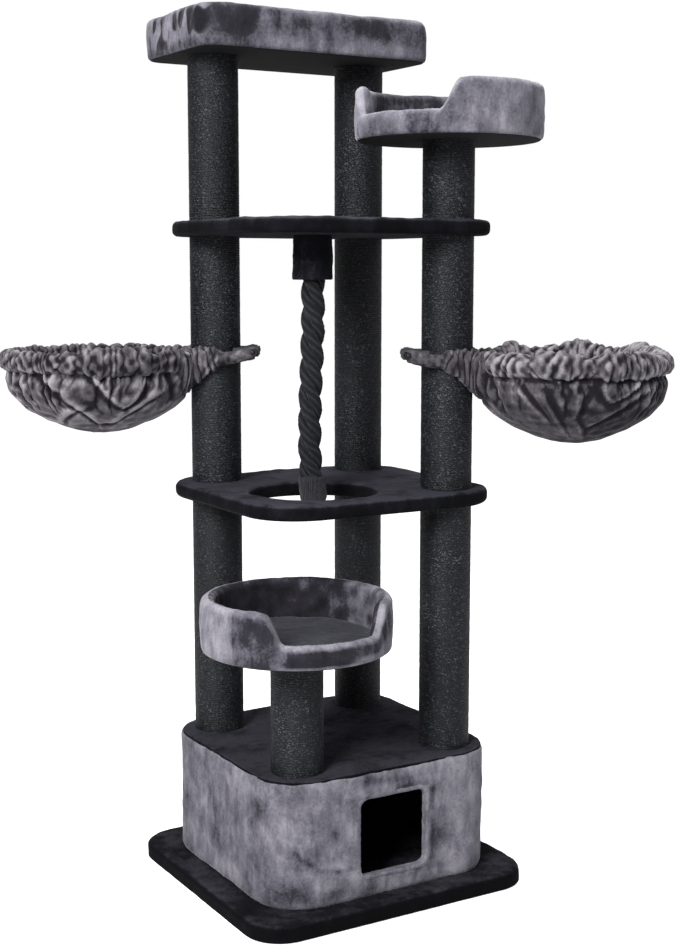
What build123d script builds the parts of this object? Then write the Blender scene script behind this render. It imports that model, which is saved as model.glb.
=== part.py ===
from build123d import *
import math
import os

# A tall cat tree, in millimetres. The origin is the middle of the base's underside, the house
# door faces -Y and +Z is up. Each sub-part is written to its own STEP file.

# ---- driving dimensions -------------------------------------------------------------------
PLUSH = 5.5            # thickness of the plush, backing and pile together
FELT = 2.0             # felt under the base

POST_R = 60.0          # outside of the sisal
SISAL = 6.0            # thickness of the sisal winding
TUBE_WALL = 6.0        # wall of the cardboard tube under the sisal
POST_X = 200.0         # the four posts stand on a rectangle, at +-POST_X and +-POST_Y
POST_Y = 198.0
PLUG_T = 20.0          # wooden plug in each end of a tube
STUD_R = 5.0           # threaded studs and bolts that join the posts
STUD_GRIP = 32.0       # how far a stud reaches into a post

BASE_SIZE = (730.0, 690.0)
BASE_R = 90.0          # corner radius, seen from above
BASE_T = 40.0

HOUSE_SIZE = (604.0, 584.0)
HOUSE_R = 115.0
HOUSE_TOP = 335.0      # height of the house's roof above the floor
HOUSE_WALL = 9.0
ROOF_T = 18.0
DOOR_W = 178.0         # clear opening
DOOR_Z = (91.0, 272.0)
DOOR_R = 16.0
BATTEN = 20.0

PLATFORM_SIZE = (624.0, 590.0)
PLATFORM_R = 130.0
PLATFORM_T = 35.0
MIDDLE_Z = 917.0       # underside of the middle platform
UPPER_Z = 1534.0       # underside of the upper platform
ROPE_X = -90.0         # the rope hangs here, over the middle platform's hole
ROPE_Y = -80.0
HOLE_R = 146.0         # clear radius of that hole

BED_BOARD = 15.0
BED_SKIN = 3.0         # black cloth under a bed
BED_RIM = 19.0         # foam wall of a bed, without its plush
PAD_T = 17.0           # cushion on a bed's board
TOP_BED_Z = 1952.0
TOP_BED_SIZE = (610.0, 350.0)
TOP_BED_R = 50.0
TOP_BED_H = 96.0
ROUND_BED_R = 212.5
ROUND_BED_H = 121.0
ENTRY_H = 53.0         # height of the low stretch of a round bed's wall
ENTRY_HALF = (113.0, 148.0)   # half width of the entry, at its foot and at the rim
RIGHT_BED_Z = 1746.0
LOWER_BED_Z = 619.0
RIGHT_BED_FACES = 198.0       # direction of each entry, degrees from +X
LOWER_BED_FACES = 265.0

SLEEVE_R = 45.0        # plush sleeve under the upper platform
SLEEVE_L = 100.0
SLEEVE_TUBE = (40.0, 38.0)    # outer and inner radius of its cardboard tube
ROPE_R = 27.5
ROPE_TOP = 1476.0
WRAP_T = 3.0           # cloth wrapping round the rope's lower end
EYE_R = 9.0            # middle radius of the screw eye and of the rope's eye
EYE_WIRE = 3.0
LINK_R = 11.0
LINK_WIRE = 2.5
LINK_PLAY = 0.3

HAMMOCK_Z = 1250.0     # height of both hammock frames
HAMMOCK_ROD = 6.0
HAMMOCK_R = 222.0      # ring, to the middle of the rod
HAMMOCK_OUT = 276.0    # centre of the ring from the post's axis
ARM_V = 72.5           # arms straddle the post at this distance from its axis
ARM_END = -95.0
ARM_KNEE = -30.0       # the arms rise from here to their ends
ARM_RISE = 13.0
BEND_R = 28.0          # bend from each arm into the ring
COVER_R = 11.0         # plush sleeves on the arms
RIM_R = 17.0           # gathered plush round the ring
RIM_START = 35.0
BAG_T = 9.0
LEFT_FACES = 150.0     # direction of each hammock from its post, degrees from +X
RIGHT_FACES = -30.0

LEFT = (-POST_X, POST_Y)       # tall post, back left
MIDDLE = (POST_X, POST_Y)      # tall post, back right
RIGHT = (POST_X, -POST_Y)      # tall post, front right
SHORT = (-POST_X, -POST_Y)     # short post, front left


# ---- helpers ------------------------------------------------------------------------------
def slab(size, radius, z0, z1, inset=0.0, centre=(0.0, 0.0)):
    """Upright slab with rounded corners, its outline moved inwards by inset."""
    outline = RectangleRounded(size[0] - 2 * inset, size[1] - 2 * inset, radius - inset)
    return Pos(centre[0], centre[1], z0) * extrude(outline, z1 - z0)


def rod(radius, z0, z1, at=(0.0, 0.0)):
    """Upright cylinder from z0 to z1."""
    return Pos(at[0], at[1], z0) * extrude(Circle(radius), z1 - z0)


def pipe(outer, inner, z0, z1, at=(0.0, 0.0)):
    return rod(outer, z0, z1, at) - rod(inner, z0, z1, at)


def ring_of_wire(radius, wire, z, across):
    """Torus of wire round the rope's axis line; its hole looks along across, "x" or "y"."""
    turn = Rot(0, 90, 0) if across == "x" else Rot(90, 0, 0)
    return Pos(ROPE_X, ROPE_Y, z) * turn * Torus(radius, wire)


def group(parts):
    """Separate solids kept together in one node."""
    solids = []
    for part in parts:
        solids += part.solids()
    return Compound(solids)


# ---- base and house -----------------------------------------------------------------------
def make_base():
    board_top = BASE_T - PLUSH
    board = slab(BASE_SIZE, BASE_R, FELT, board_top, inset=PLUSH)
    cover = slab(BASE_SIZE, BASE_R, FELT, BASE_T)
    cover = fillet(cover.faces().sort_by(Axis.Z)[-1].edges(), 12) - board
    return {
        "base_felt": slab(BASE_SIZE, BASE_R, 0, FELT, inset=14),
        "base_board": board,
        "base_plush": cover,
    }


def door(extra, y0, y1):
    """Block the shape of the doorway, grown by extra on every side."""
    height = DOOR_Z[1] - DOOR_Z[0]
    outline = RectangleRounded(DOOR_W + 2 * extra, height + 2 * extra, DOOR_R + extra)
    middle = (DOOR_Z[0] + DOOR_Z[1]) / 2
    return Pos(0, y0, middle) * Rot(90, 0, 0) * extrude(outline, -(y1 - y0))


def make_house():
    front = -HOUSE_SIZE[1] / 2
    wall_in = PLUSH + HOUSE_WALL
    roof_top = HOUSE_TOP - PLUSH
    roof_bottom = roof_top - ROOF_T
    cut = (front - 20, front + 60)
    wall = slab(HOUSE_SIZE, HOUSE_R, BASE_T, roof_bottom, PLUSH)
    wall -= slab(HOUSE_SIZE, HOUSE_R, BASE_T, roof_bottom, wall_in)
    wall -= door(PLUSH, *cut)
    skin = slab(HOUSE_SIZE, HOUSE_R, BASE_T, roof_top + 1.5)
    skin -= slab(HOUSE_SIZE, HOUSE_R, BASE_T, roof_top + 1.5, PLUSH)
    skin -= door(PLUSH, *cut)
    trim = door(PLUSH, front, front + wall_in) - door(0, *cut)
    batten_y = HOUSE_SIZE[1] / 2 - wall_in - BATTEN / 2
    battens = []
    for sx in (-1, 1):
        for sy in (-1, 1):
            block = Box(BATTEN, BATTEN, roof_bottom - BASE_T)
            battens.append(Pos(sx * 165, sy * batten_y, (BASE_T + roof_bottom) / 2) * block)
    roof = slab(HOUSE_SIZE, HOUSE_R, roof_bottom, roof_top, PLUSH)
    roof_plush = slab(HOUSE_SIZE, HOUSE_R, roof_top, HOUSE_TOP, PLUSH)
    for post in (LEFT, MIDDLE, RIGHT, SHORT):
        roof -= rod(STUD_R + 0.5, roof_bottom, roof_top, post)
        roof_plush -= rod(STUD_R + 1, roof_top, HOUSE_TOP, post)
    return {
        "house_wall": wall,
        "house_plush": skin,
        "doorway_trim": trim,
        "house_battens": group(battens),
        "house_roof_board": roof,
        "house_roof_plush": roof_plush,
    }


# ---- posts --------------------------------------------------------------------------------
SEGMENTS = {
    "left_post_lower": (LEFT, HOUSE_TOP, MIDDLE_Z),
    "left_post_middle": (LEFT, MIDDLE_Z + PLATFORM_T, UPPER_Z),
    "left_post_upper": (LEFT, UPPER_Z + PLATFORM_T, TOP_BED_Z),
    "back_post_lower": (MIDDLE, HOUSE_TOP, MIDDLE_Z),
    "back_post_middle": (MIDDLE, MIDDLE_Z + PLATFORM_T, UPPER_Z),
    "back_post_upper": (MIDDLE, UPPER_Z + PLATFORM_T, TOP_BED_Z),
    "right_post_lower": (RIGHT, HOUSE_TOP, MIDDLE_Z),
    "right_post_middle": (RIGHT, MIDDLE_Z + PLATFORM_T, UPPER_Z),
    "right_post_upper": (RIGHT, UPPER_Z + PLATFORM_T, RIGHT_BED_Z),
    "short_post": (SHORT, HOUSE_TOP, LOWER_BED_Z),
}


def make_posts():
    """Sisal winding on a cardboard tube, with a drilled wooden plug in each end."""
    parts = {}
    tubes = []
    plugs = []
    tube_r = POST_R - SISAL
    bore = tube_r - TUBE_WALL
    for name, (at, z0, z1) in SEGMENTS.items():
        parts[name + "_sisal"] = pipe(POST_R, tube_r, z0, z1, at)
        tubes.append(pipe(tube_r, bore, z0, z1, at))
        plugs.append(pipe(bore, STUD_R, z0, z0 + PLUG_T, at))
        plugs.append(pipe(bore, STUD_R, z1 - PLUG_T, z1, at))
    parts["post_tubes"] = group(tubes)
    parts["post_end_plugs"] = group(plugs)
    return parts


def make_fasteners():
    """Studs through the platforms, bolts up through the roof and down through the beds."""
    studs = []
    for post in (LEFT, MIDDLE, RIGHT):
        for z in (MIDDLE_Z, UPPER_Z):
            studs.append(rod(STUD_R, z - STUD_GRIP, z + PLATFORM_T + STUD_GRIP, post))
    roof_bottom = HOUSE_TOP - PLUSH - ROOF_T
    roof_bolts = []
    for post in (LEFT, MIDDLE, RIGHT, SHORT):
        head = rod(14, roof_bottom - 3, roof_bottom, post) + rod(9, roof_bottom - 9, roof_bottom, post)
        roof_bolts.append(head + rod(STUD_R, roof_bottom - 3, HOUSE_TOP + STUD_GRIP, post))
    bed_bolts = []
    for post, z in ((LEFT, TOP_BED_Z), (MIDDLE, TOP_BED_Z), (RIGHT, RIGHT_BED_Z), (SHORT, LOWER_BED_Z)):
        top = z + BED_SKIN + BED_BOARD
        bed_bolts.append(rod(14, top - 3, top, post) + rod(STUD_R, z - STUD_GRIP, top - 1, post))
    return {
        "joining_studs": group(studs),
        "roof_bolts": group(roof_bolts),
        "bed_bolts": group(bed_bolts),
    }


# ---- platforms ----------------------------------------------------------------------------
def make_platform(name, z, hole):
    """Board in a plush cover, clamped between the ends of the posts above and below it."""
    board = slab(PLATFORM_SIZE, PLATFORM_R, z + PLUSH, z + PLATFORM_T - PLUSH, PLUSH)
    cover = slab(PLATFORM_SIZE, PLATFORM_R, z, z + PLATFORM_T)
    rims = cover.faces().sort_by(Axis.Z)
    cover = fillet(rims[0].edges() + rims[-1].edges(), 14)
    if hole:
        board -= rod(HOLE_R + PLUSH, z, z + PLATFORM_T, (ROPE_X, ROPE_Y))
        cover -= rod(HOLE_R, z, z + PLATFORM_T, (ROPE_X, ROPE_Y))
    else:
        board -= rod(4, z, z + 27, (ROPE_X, ROPE_Y))
        cover -= rod(5, z, z + PLUSH, (ROPE_X, ROPE_Y))
    cover -= board if hole else board + rod(4, z + PLUSH, z + 27, (ROPE_X, ROPE_Y))
    for post in (LEFT, MIDDLE, RIGHT):
        board -= rod(STUD_R + 0.5, z, z + PLATFORM_T, post)
        cover -= rod(STUD_R + 1, z, z + PLATFORM_T, post)
    return {name + "_board": board, name + "_plush": cover}


# ---- beds ---------------------------------------------------------------------------------
def make_bed(name, z, height, footprint, bolts, entry):
    """Board with a foam rim in plush and a cushion; footprint(inset, z0, z1) is its outline."""
    floor = z + BED_SKIN + BED_BOARD
    in_rim = PLUSH + BED_RIM
    board = footprint(in_rim, z + BED_SKIN, floor)
    for post in bolts:
        board -= rod(STUD_R + 0.5, z, floor, post) + rod(14.2, floor - 3.2, floor, post)
    core = footprint(PLUSH, z + BED_SKIN, z + height - PLUSH) - footprint(in_rim, z, z + height)
    skin = footprint(0, z, z + height) - footprint(in_rim + PLUSH, z, z + height)
    skin -= footprint(PLUSH, z, z + BED_SKIN)
    skin -= footprint(in_rim, z, floor)
    if entry:
        core -= entry(z, PLUSH)
        skin -= entry(z, 0)
    skin -= core
    pad = footprint(in_rim + PLUSH + 0.5, floor, floor + PAD_T)
    return {
        name + "_board": board,
        name + "_rim_foam": core,
        name + "_rim_plush": skin,
        name + "_cushion": pad,
    }


def round_footprint(centre):
    def footprint(inset, z0, z1):
        return rod(ROUND_BED_R - inset, z0, z1, centre)
    return footprint


def top_footprint(inset, z0, z1):
    return slab(TOP_BED_SIZE, TOP_BED_R, z0, z1, inset, (0.0, POST_Y))


def entry_cut(centre, faces):
    """Block that lowers a round bed's wall; its sides slope outwards towards the rim."""
    def cut(z, margin):
        foot, top = ENTRY_HALF
        low = ENTRY_H - margin
        slope = (top - foot) / (ROUND_BED_H - ENTRY_H)
        lean = margin * math.hypot(1, slope)
        high = ROUND_BED_H + 20
        reach = slope * (high - low)
        edge = foot - slope * margin + lean
        shape = Polygon((-edge, low), (edge, low), (edge + reach, high), (-edge - reach, high), align=None)
        shape = fillet(shape.vertices().group_by(Axis.Y)[0], 18 + margin)
        block = extrude(Plane.YZ * shape, ROUND_BED_R + 20)
        return Pos(centre[0], centre[1], z) * Rot(0, 0, faces) * block
    return cut


def make_beds():
    parts = make_bed("top_bed", TOP_BED_Z, TOP_BED_H, top_footprint, (LEFT, MIDDLE), None)
    undersides = [top_footprint(PLUSH, TOP_BED_Z, TOP_BED_Z + BED_SKIN)]
    posts = [(LEFT, TOP_BED_Z), (MIDDLE, TOP_BED_Z)]
    for name, post, z, faces in (
        ("right_bed", RIGHT, RIGHT_BED_Z, RIGHT_BED_FACES),
        ("lower_bed", SHORT, LOWER_BED_Z, LOWER_BED_FACES),
    ):
        footprint = round_footprint(post)
        parts |= make_bed(name, z, ROUND_BED_H, footprint, (post,), entry_cut(post, faces))
        undersides.append(footprint(PLUSH, z, z + BED_SKIN))
        posts.append((post, z))
    for post, z in posts:
        for i, sheet in enumerate(undersides):
            undersides[i] = sheet - rod(STUD_R + 1, z, z + BED_SKIN, post)
    parts["bed_undersides"] = group(undersides)
    return parts


# ---- rope ---------------------------------------------------------------------------------
EYE_Z = UPPER_Z - EYE_R - EYE_WIRE - 3                 # middle of the screw eye
FIRST_PIVOT = EYE_Z - EYE_R                            # the link swings on the eye's wire here
LINK_Z = FIRST_PIVOT + EYE_WIRE + LINK_WIRE + LINK_PLAY - LINK_R
SECOND_PIVOT = LINK_Z - LINK_R                         # the rope's eye swings on the link here
ROPE_EYE_Z = SECOND_PIVOT + EYE_WIRE + LINK_WIRE + LINK_PLAY - EYE_R

# The rope hangs nearly straight, with the slight set that a thick laid rope keeps.
# Each row is the sideways set, towards the back left, and the height.
ROPE_ROUTE = [(0, 1476), (-1.5, 1395), (0.5, 1290), (6, 1170), (8, 1050), (4, 985), (-2, 930)]
SET_X = -0.86
SET_Y = 0.51


def rope_points():
    points = []
    for aside, z in ROPE_ROUTE:
        points.append(Vector(ROPE_X + SET_X * aside, ROPE_Y + SET_Y * aside, z))
    return points


def smooth_path(points):
    """Straight runs joined by tangent arcs, each as large as its two runs allow."""
    radii = []
    for a, b, c in zip(points, points[1:], points[2:]):
        turn = math.radians((b - a).get_angle(c - b))
        shorter = min((b - a).length, (c - b).length)
        radii.append(0.45 * shorter / math.tan(turn / 2))
    print("rope radii", [round(r) for r in radii])
    return FilletPolyline(*points, radius=radii)


def make_rope():
    path = smooth_path(rope_points())
    rope = sweep(Plane(path @ 0, z_dir=path % 0) * Circle(ROPE_R), path)
    expected = math.pi * ROPE_R**2 * path.length
    print("rope length", round(path.length, 1), "volume ratio", round(rope.volume / expected, 4))
    last = rope_points()[-2:]
    down = (last[1] - last[0]).normalized()
    length = (last[1] - last[0]).length
    end = Plane(last[0], z_dir=down)
    wrap = end * extrude(Circle(ROPE_R + WRAP_T), length + WRAP_T)
    wrap -= end * extrude(Circle(ROPE_R), length)
    eye = ring_of_wire(EYE_R, EYE_WIRE, ROPE_EYE_Z, "y")
    cap_top = ROPE_EYE_Z - EYE_R - 1
    cap = rod(ROPE_R + 1.5, ROPE_TOP - 18, cap_top, (ROPE_X, ROPE_Y)) + eye
    cap -= rod(ROPE_R, ROPE_TOP - 18, ROPE_TOP, (ROPE_X, ROPE_Y))
    screw_eye = ring_of_wire(EYE_R, EYE_WIRE, EYE_Z, "y")
    screw_eye += rod(4, EYE_Z + EYE_R, UPPER_Z + 26, (ROPE_X, ROPE_Y))
    at = (ROPE_X, ROPE_Y)
    mouth = UPPER_Z - SLEEVE_L
    outer, inner = SLEEVE_TUBE
    sleeve = rod(SLEEVE_R, mouth, UPPER_Z, at)
    sleeve = fillet(sleeve.faces().sort_by(Axis.Z)[0].edges(), 5)
    sleeve -= rod(outer, mouth + 3, UPPER_Z, at) + rod(inner, mouth, mouth + 3, at)
    return {
        "rope_sleeve_tube": pipe(outer, inner, mouth + 3, UPPER_Z, at),
        "rope_sleeve_plush": sleeve,
        "rope_screw_eye": screw_eye,
        "rope_link": ring_of_wire(LINK_R, LINK_WIRE, LINK_Z, "x"),
        "rope_cap": cap,
        "rope": rope,
        "rope_end_wrap": wrap,
    }


# ---- hammocks -----------------------------------------------------------------------------
# A hammock is drawn with its post's axis at the origin and its ring towards +X.
def bend_points():
    """Middle of the bend, its start on the arm and its end on the ring, for the +Y arm."""
    reach = HAMMOCK_R + BEND_R
    bend_x = HAMMOCK_OUT - math.sqrt(reach**2 - (ARM_V + BEND_R) ** 2)
    share = HAMMOCK_R / reach
    ring_x = HAMMOCK_OUT + (bend_x - HAMMOCK_OUT) * share
    ring_y = (ARM_V + BEND_R) * share
    angle = math.atan2(ring_y - ARM_V - BEND_R, ring_x - bend_x)
    half = (angle - math.pi / 2) / 2
    mid = (bend_x + BEND_R * math.cos(half), ARM_V + BEND_R + BEND_R * math.sin(half))
    return mid, (bend_x, ARM_V), (ring_x, ring_y)


def ring_wire(start_x):
    """Path from one arm round the ring to the other, level at HAMMOCK_Z."""
    mid, arm, ring = bend_points()

    def at(x, y):
        return (x, y, HAMMOCK_Z)
    edges = [
        Edge.make_line(at(start_x, ARM_V), at(*arm)),
        Edge.make_three_point_arc(at(*arm), at(*mid), at(*ring)),
        Edge.make_three_point_arc(at(*ring), at(HAMMOCK_OUT + HAMMOCK_R, 0), at(ring[0], -ring[1])),
        Edge.make_three_point_arc(at(ring[0], -ring[1]), at(mid[0], -mid[1]), at(arm[0], -arm[1])),
        Edge.make_line(at(arm[0], -arm[1]), at(start_x, -ARM_V)),
    ]
    return Wire(edges)


def arm_wire(side, end_x):
    """Path of one arm from the ring wire's start out to its raised end."""
    knee = (ARM_KNEE, side * ARM_V, HAMMOCK_Z)
    rise = ARM_RISE * (ARM_KNEE - end_x) / (ARM_KNEE - ARM_END)
    tip = (end_x, side * ARM_V, HAMMOCK_Z + rise)
    start = (RIM_START, side * ARM_V, HAMMOCK_Z)
    return FilletPolyline(start, knee, tip, radius=60)


def along(path, radius):
    """Round bar along a path."""
    return sweep(Plane(path @ 0, z_dir=path % 0) * Circle(radius), path)


def bag_block(inset, z_top):
    """Filled bowl, its skin moved inwards by inset, with a flat side next to the post."""
    floor = HAMMOCK_Z - 187
    profile = [(80, 14), (140, 42), (182, 66), (214, 97), (231, 135), (234, 187)]
    pts = [(0, floor + inset)]
    for r, h in profile:
        pts.append((r - 0.75 * inset - 2, floor + h + 0.65 * inset))
    pts[-1] = (234 - inset - 2, z_top)
    outline = Polyline(*pts, (0, z_top), pts[0])
    bowl = revolve(Plane.XZ * make_face(outline), Axis.Z)
    side = 73 + inset
    notch = Pos(side / 2, 0, HAMMOCK_Z - 90) * Box(side, 2 * (78 + inset), 400)
    return Pos(HAMMOCK_OUT, 0, 0) * bowl - notch


def make_hammock(name, post, faces):
    ring = ring_wire(RIM_START)
    end_z = HAMMOCK_Z + ARM_RISE
    frame = along(ring, HAMMOCK_ROD)
    covers = []
    for side in (-1, 1):
        frame += along(arm_wire(side, ARM_END), HAMMOCK_ROD)
        eye = Pos(ARM_END, side * ARM_V, end_z) * Rot(90, 0, 0) * Cylinder(10, 14)
        frame += eye
        cover_path = arm_wire(side, ARM_END + 11)
        covers.append(along(cover_path, COVER_R) - along(cover_path, HAMMOCK_ROD + 0.2))
    crossbar_x = POST_R + 5
    cross_y = ARM_V + 8
    frame += Pos(crossbar_x, 0, HAMMOCK_Z) * Rot(90, 0, 0) * Cylinder(4, 2 * cross_y)
    across = Rot(90, 0, 0)
    frame -= Pos(ARM_END, 0, end_z) * across * Cylinder(4.1, 400)
    block = Pos((ARM_END - 9 - 45) / 2, 0, end_z) * Box(-45 - ARM_END + 9, 2 * (ARM_V - COVER_R - 1), 20)
    block -= rod(POST_R + 0.4, end_z - 20, end_z + 20)
    block -= Pos(ARM_END, 0, end_z) * across * Cylinder(4.1, 400)
    bolt = Pos(ARM_END, 0, end_z) * across * Cylinder(4, 2 * (ARM_V + 12))
    for side in (-1, 1):
        bolt += Pos(ARM_END, side * (ARM_V + 10), end_z) * across * Cylinder(8, 6)
    bag = bag_block(0, HAMMOCK_Z) - bag_block(BAG_T, HAMMOCK_Z + 1)
    bag += along(ring, RIM_R)
    bag -= along(ring, HAMMOCK_ROD + 0.2)
    bag -= Pos(crossbar_x, 0, HAMMOCK_Z) * across * Cylinder(4.3, 2 * cross_y + 1)
    place = Pos(post[0], post[1], 0) * Rot(0, 0, faces)
    return {
        name + "_frame": place * frame,
        name + "_arm_covers": group([place * cover for cover in covers]),
        name + "_clamp_block": place * block,
        name + "_clamp_bolt": place * bolt,
        name + "_bag": place * bag,
    }


# ---- everything ---------------------------------------------------------------------------
def main():
    parts = make_base() | make_house() | make_posts() | make_fasteners()
    parts |= make_platform("middle_platform", MIDDLE_Z, True)
    parts |= make_platform("upper_platform", UPPER_Z, False)
    parts |= make_beds() | make_rope()
    parts |= make_hammock("left_hammock", LEFT, LEFT_FACES)
    parts |= make_hammock("right_hammock", RIGHT, RIGHT_FACES)
    os.makedirs("parts", exist_ok=True)
    for name, part in parts.items():
        export_step(part, "parts/" + name + ".step")
    print(len(parts), "parts")
    print("pivots", FIRST_PIVOT, SECOND_PIVOT)


main()
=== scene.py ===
import math
import bpy
import numpy as np
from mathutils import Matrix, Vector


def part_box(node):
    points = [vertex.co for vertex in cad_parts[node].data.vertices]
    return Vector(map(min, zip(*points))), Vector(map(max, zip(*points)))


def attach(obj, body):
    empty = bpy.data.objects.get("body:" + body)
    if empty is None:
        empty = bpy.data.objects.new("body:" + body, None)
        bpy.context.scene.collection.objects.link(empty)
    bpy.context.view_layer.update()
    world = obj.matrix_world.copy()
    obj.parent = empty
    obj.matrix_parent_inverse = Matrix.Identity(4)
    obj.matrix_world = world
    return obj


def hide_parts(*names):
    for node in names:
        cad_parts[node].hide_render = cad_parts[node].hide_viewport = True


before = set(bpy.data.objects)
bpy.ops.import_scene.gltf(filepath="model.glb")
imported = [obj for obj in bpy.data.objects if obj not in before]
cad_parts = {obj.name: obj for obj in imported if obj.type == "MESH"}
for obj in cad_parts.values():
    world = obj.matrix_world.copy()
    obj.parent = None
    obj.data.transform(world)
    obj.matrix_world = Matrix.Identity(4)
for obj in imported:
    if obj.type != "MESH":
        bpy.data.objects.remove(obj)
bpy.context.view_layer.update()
TAU = 2 * math.pi


def axis_of(node):
    """Middle of a CAD part, seen from above."""
    low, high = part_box(node)
    return np.array([(low.x + high.x) / 2, (low.y + high.y) / 2])


def footprint(node):
    """Width and depth of a CAD part, seen from above."""
    low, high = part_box(node)
    return high.x - low.x, high.y - low.y


def put(name, data):
    """A new object that shows that data, in the scene."""
    made = bpy.data.objects.new(name, data)
    bpy.context.scene.collection.objects.link(made)
    return made


# ---- camera, floor and lights ---------------------------------------------------------------
def camera():
    """A long lens, a little above the middle of the tree and tilted slightly down, in front and
    to the left of it."""
    downward, turned = 7.52, -30.64
    data = bpy.data.cameras.new("camera")
    data.lens = 58.05
    data.sensor_width = 36.0
    data.clip_end = 60.0
    made = put("camera", data)
    made.location = (-1.8128, -3.1081, 1.4529)
    made.rotation_euler = (math.radians(90 - downward), 0.0, math.radians(turned))
    bpy.context.scene.camera = made


def lamp(name, place, aim, size, power):
    """A square white soft box at place that points at aim."""
    data = bpy.data.lights.new(name, "AREA")
    data.size = size
    data.energy = power
    made = put(name, data)
    made.location = place
    way = np.array(aim, float) - np.array(place, float)
    flat = math.hypot(way[0], way[1])
    made.rotation_euler = (math.atan2(flat, -way[2]), 0.0, math.atan2(-way[0], way[1]))


# ---- surfaces worked out with numpy -----------------------------------------------------------
def waves(points, size, seed, count=9):
    """Smooth unevenness, mostly between -1 and 1: sine waves about size long, which run in
    random directions through space, added up."""
    rng = np.random.default_rng(seed)
    ways = rng.normal(size=(count, 3))
    ways /= np.linalg.norm(ways, axis=1, keepdims=True)
    ways *= TAU / size * rng.uniform(0.7, 1.5, (count, 1))
    return np.sin(points @ ways.T + rng.uniform(0, TAU, count)).sum(-1) / math.sqrt(count)


def step(value, low, high):
    """Smooth step: 0 below low, 1 above high, and a cubic between."""
    t = np.clip((value - low) / (high - low), 0.0, 1.0)
    return t * t * (3 - 2 * t)


def grid_mesh(name, grid, ring_rows=False, ring_cols=True, ends=True, keep=None, uv=None, pile_and_painted_light=None):
    """Mesh over a grid of points, rows by columns by xyz. ring_rows and ring_cols join the last
    row or column to the first, ends closes the first and last rows round a middle point, keep
    says which cells stay, uv gives one coordinate for each column line and each row line, and
    the last argument says for each point how far its pile is brushed towards dark, or below 0
    towards light, together with the painted shade and painted highlights laid on it."""
    rows, cols = grid.shape[:2]
    index = np.arange(rows * cols).reshape(rows, cols)
    if ring_cols:
        index = np.hstack([index, index[:, :1]])
    if ring_rows:
        index = np.vstack([index, index[:1]])
    cells = np.stack([index[:-1, :-1], index[:-1, 1:], index[1:, 1:], index[1:, :-1]], -1)
    points = grid.reshape(-1, 3)
    if keep is not None:
        cells = cells[keep]
    quads = cells.reshape(-1, 4)
    fans = np.zeros((0, 3), int)
    if ends and not ring_rows:
        poles = np.array([rows * cols, rows * cols + 1])
        points = np.vstack([points, grid[0].mean(0), grid[-1].mean(0)])
        first = np.stack([np.full(cols, poles[0]), index[0, 1:], index[0, :-1]], -1)
        last = np.stack([np.full(cols, poles[1]), index[-1, :-1], index[-1, 1:]], -1)
        fans = np.vstack([first, last])
    local = points - points.mean(0)
    halves = np.vstack([quads[:, :3], quads[:, [0, 2, 3]], fans])
    a, b, c = (local[halves[:, k]] for k in range(3))
    outward = float((a * np.cross(b, c)).sum()) > 0
    if not outward:
        quads, fans = quads[:, ::-1], fans[:, ::-1]
    mesh = bpy.data.meshes.new(name)
    mesh.from_pydata(points.tolist(), [], quads.tolist() + fans.tolist())
    if uv is not None:
        across, down = (np.asarray(line, float) for line in uv)
        j, i = np.meshgrid(np.arange(len(across) - 1), np.arange(len(down) - 1))
        u = np.stack([across[j], across[j + 1], across[j + 1], across[j]], -1).reshape(-1, 4)
        v = np.stack([down[i], down[i], down[i + 1], down[i + 1]], -1).reshape(-1, 4)
        pairs = np.stack([u, v], -1)
        if not outward:
            pairs = pairs[:, ::-1]
        rest = np.zeros((fans.size, 2))
        rest[:, 1] = np.repeat([down[0], down[-1]], fans.size // 2)
        layer = mesh.uv_layers.new(name="lay")
        layer.uv.foreach_set("vector", np.vstack([pairs.reshape(-1, 2), rest]).ravel())
    # Each point's pile brushing, painted shade and painted highlight, stored for the plush to read.
    if pile_and_painted_light is not None:
        brushed_and_shaded = np.zeros(len(points))
        brushed_and_shaded[:rows * cols] = np.broadcast_to(pile_and_painted_light, (rows, cols)).ravel()
        mesh.attributes.new("pile_and_painted_light", "FLOAT", "POINT").data.foreach_set("value", brushed_and_shaded)
    mesh.shade_smooth()
    return put(name, mesh)


def dress(piece, material, body="tree", stands_for=()):
    """Gives a piece its material and its body, and hides the CAD parts it stands for."""
    piece.data.materials.clear()
    piece.data.materials.append(material)
    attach(piece, body)
    if stands_for:
        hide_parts(*stands_for)
    return piece


def outline(size, radius, count, middle=(0.0, 0.0)):
    """Rounded rectangle seen from above, counterclockwise from the middle of its back: four
    quarter circles of that radius joined by straights. count is how many even points it gets,
    or the runs to have them at, which are 0 at the middle of the front and above 0 to its
    right. Gives its points, its outward directions and the run from the back to each."""
    w, h = size[0] / 2 - radius, size[1] / 2 - radius
    dense = 41
    quarter = np.linspace(0, math.pi / 2, dense)
    angles = np.concatenate([quarter + k * math.pi / 2 for k in (1, 2, 3, 4)])
    ways = np.stack([np.cos(angles), np.sin(angles)], -1)
    corners = np.repeat([[-w, h], [-w, -h], [w, -h], [w, h]], dense, axis=0)
    points = corners + radius * ways
    back = [[0.0, h + radius]]
    points = np.vstack([back, points, back])
    ways = np.vstack([[[0.0, 1.0]], ways, [[0.0, 1.0]]])
    run = np.concatenate([[0.0], np.cumsum(np.linalg.norm(np.diff(points, axis=0), axis=1))])
    if np.isscalar(count):
        at = np.linspace(0, run[-1], count, endpoint=False)
    else:
        at = count + run[-1] / 2
    even = np.stack([np.interp(at, run, points[:, k]) for k in (0, 1)], -1)
    out = np.stack([np.interp(at, run, ways[:, k]) for k in (0, 1)], -1)
    out /= np.linalg.norm(out, axis=1, keepdims=True)
    return even + np.array(middle), out, at


def lifted(flat, z):
    """Points seen from above, given a height each."""
    return np.dstack([flat, np.broadcast_to(z, flat.shape[:2])])


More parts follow.
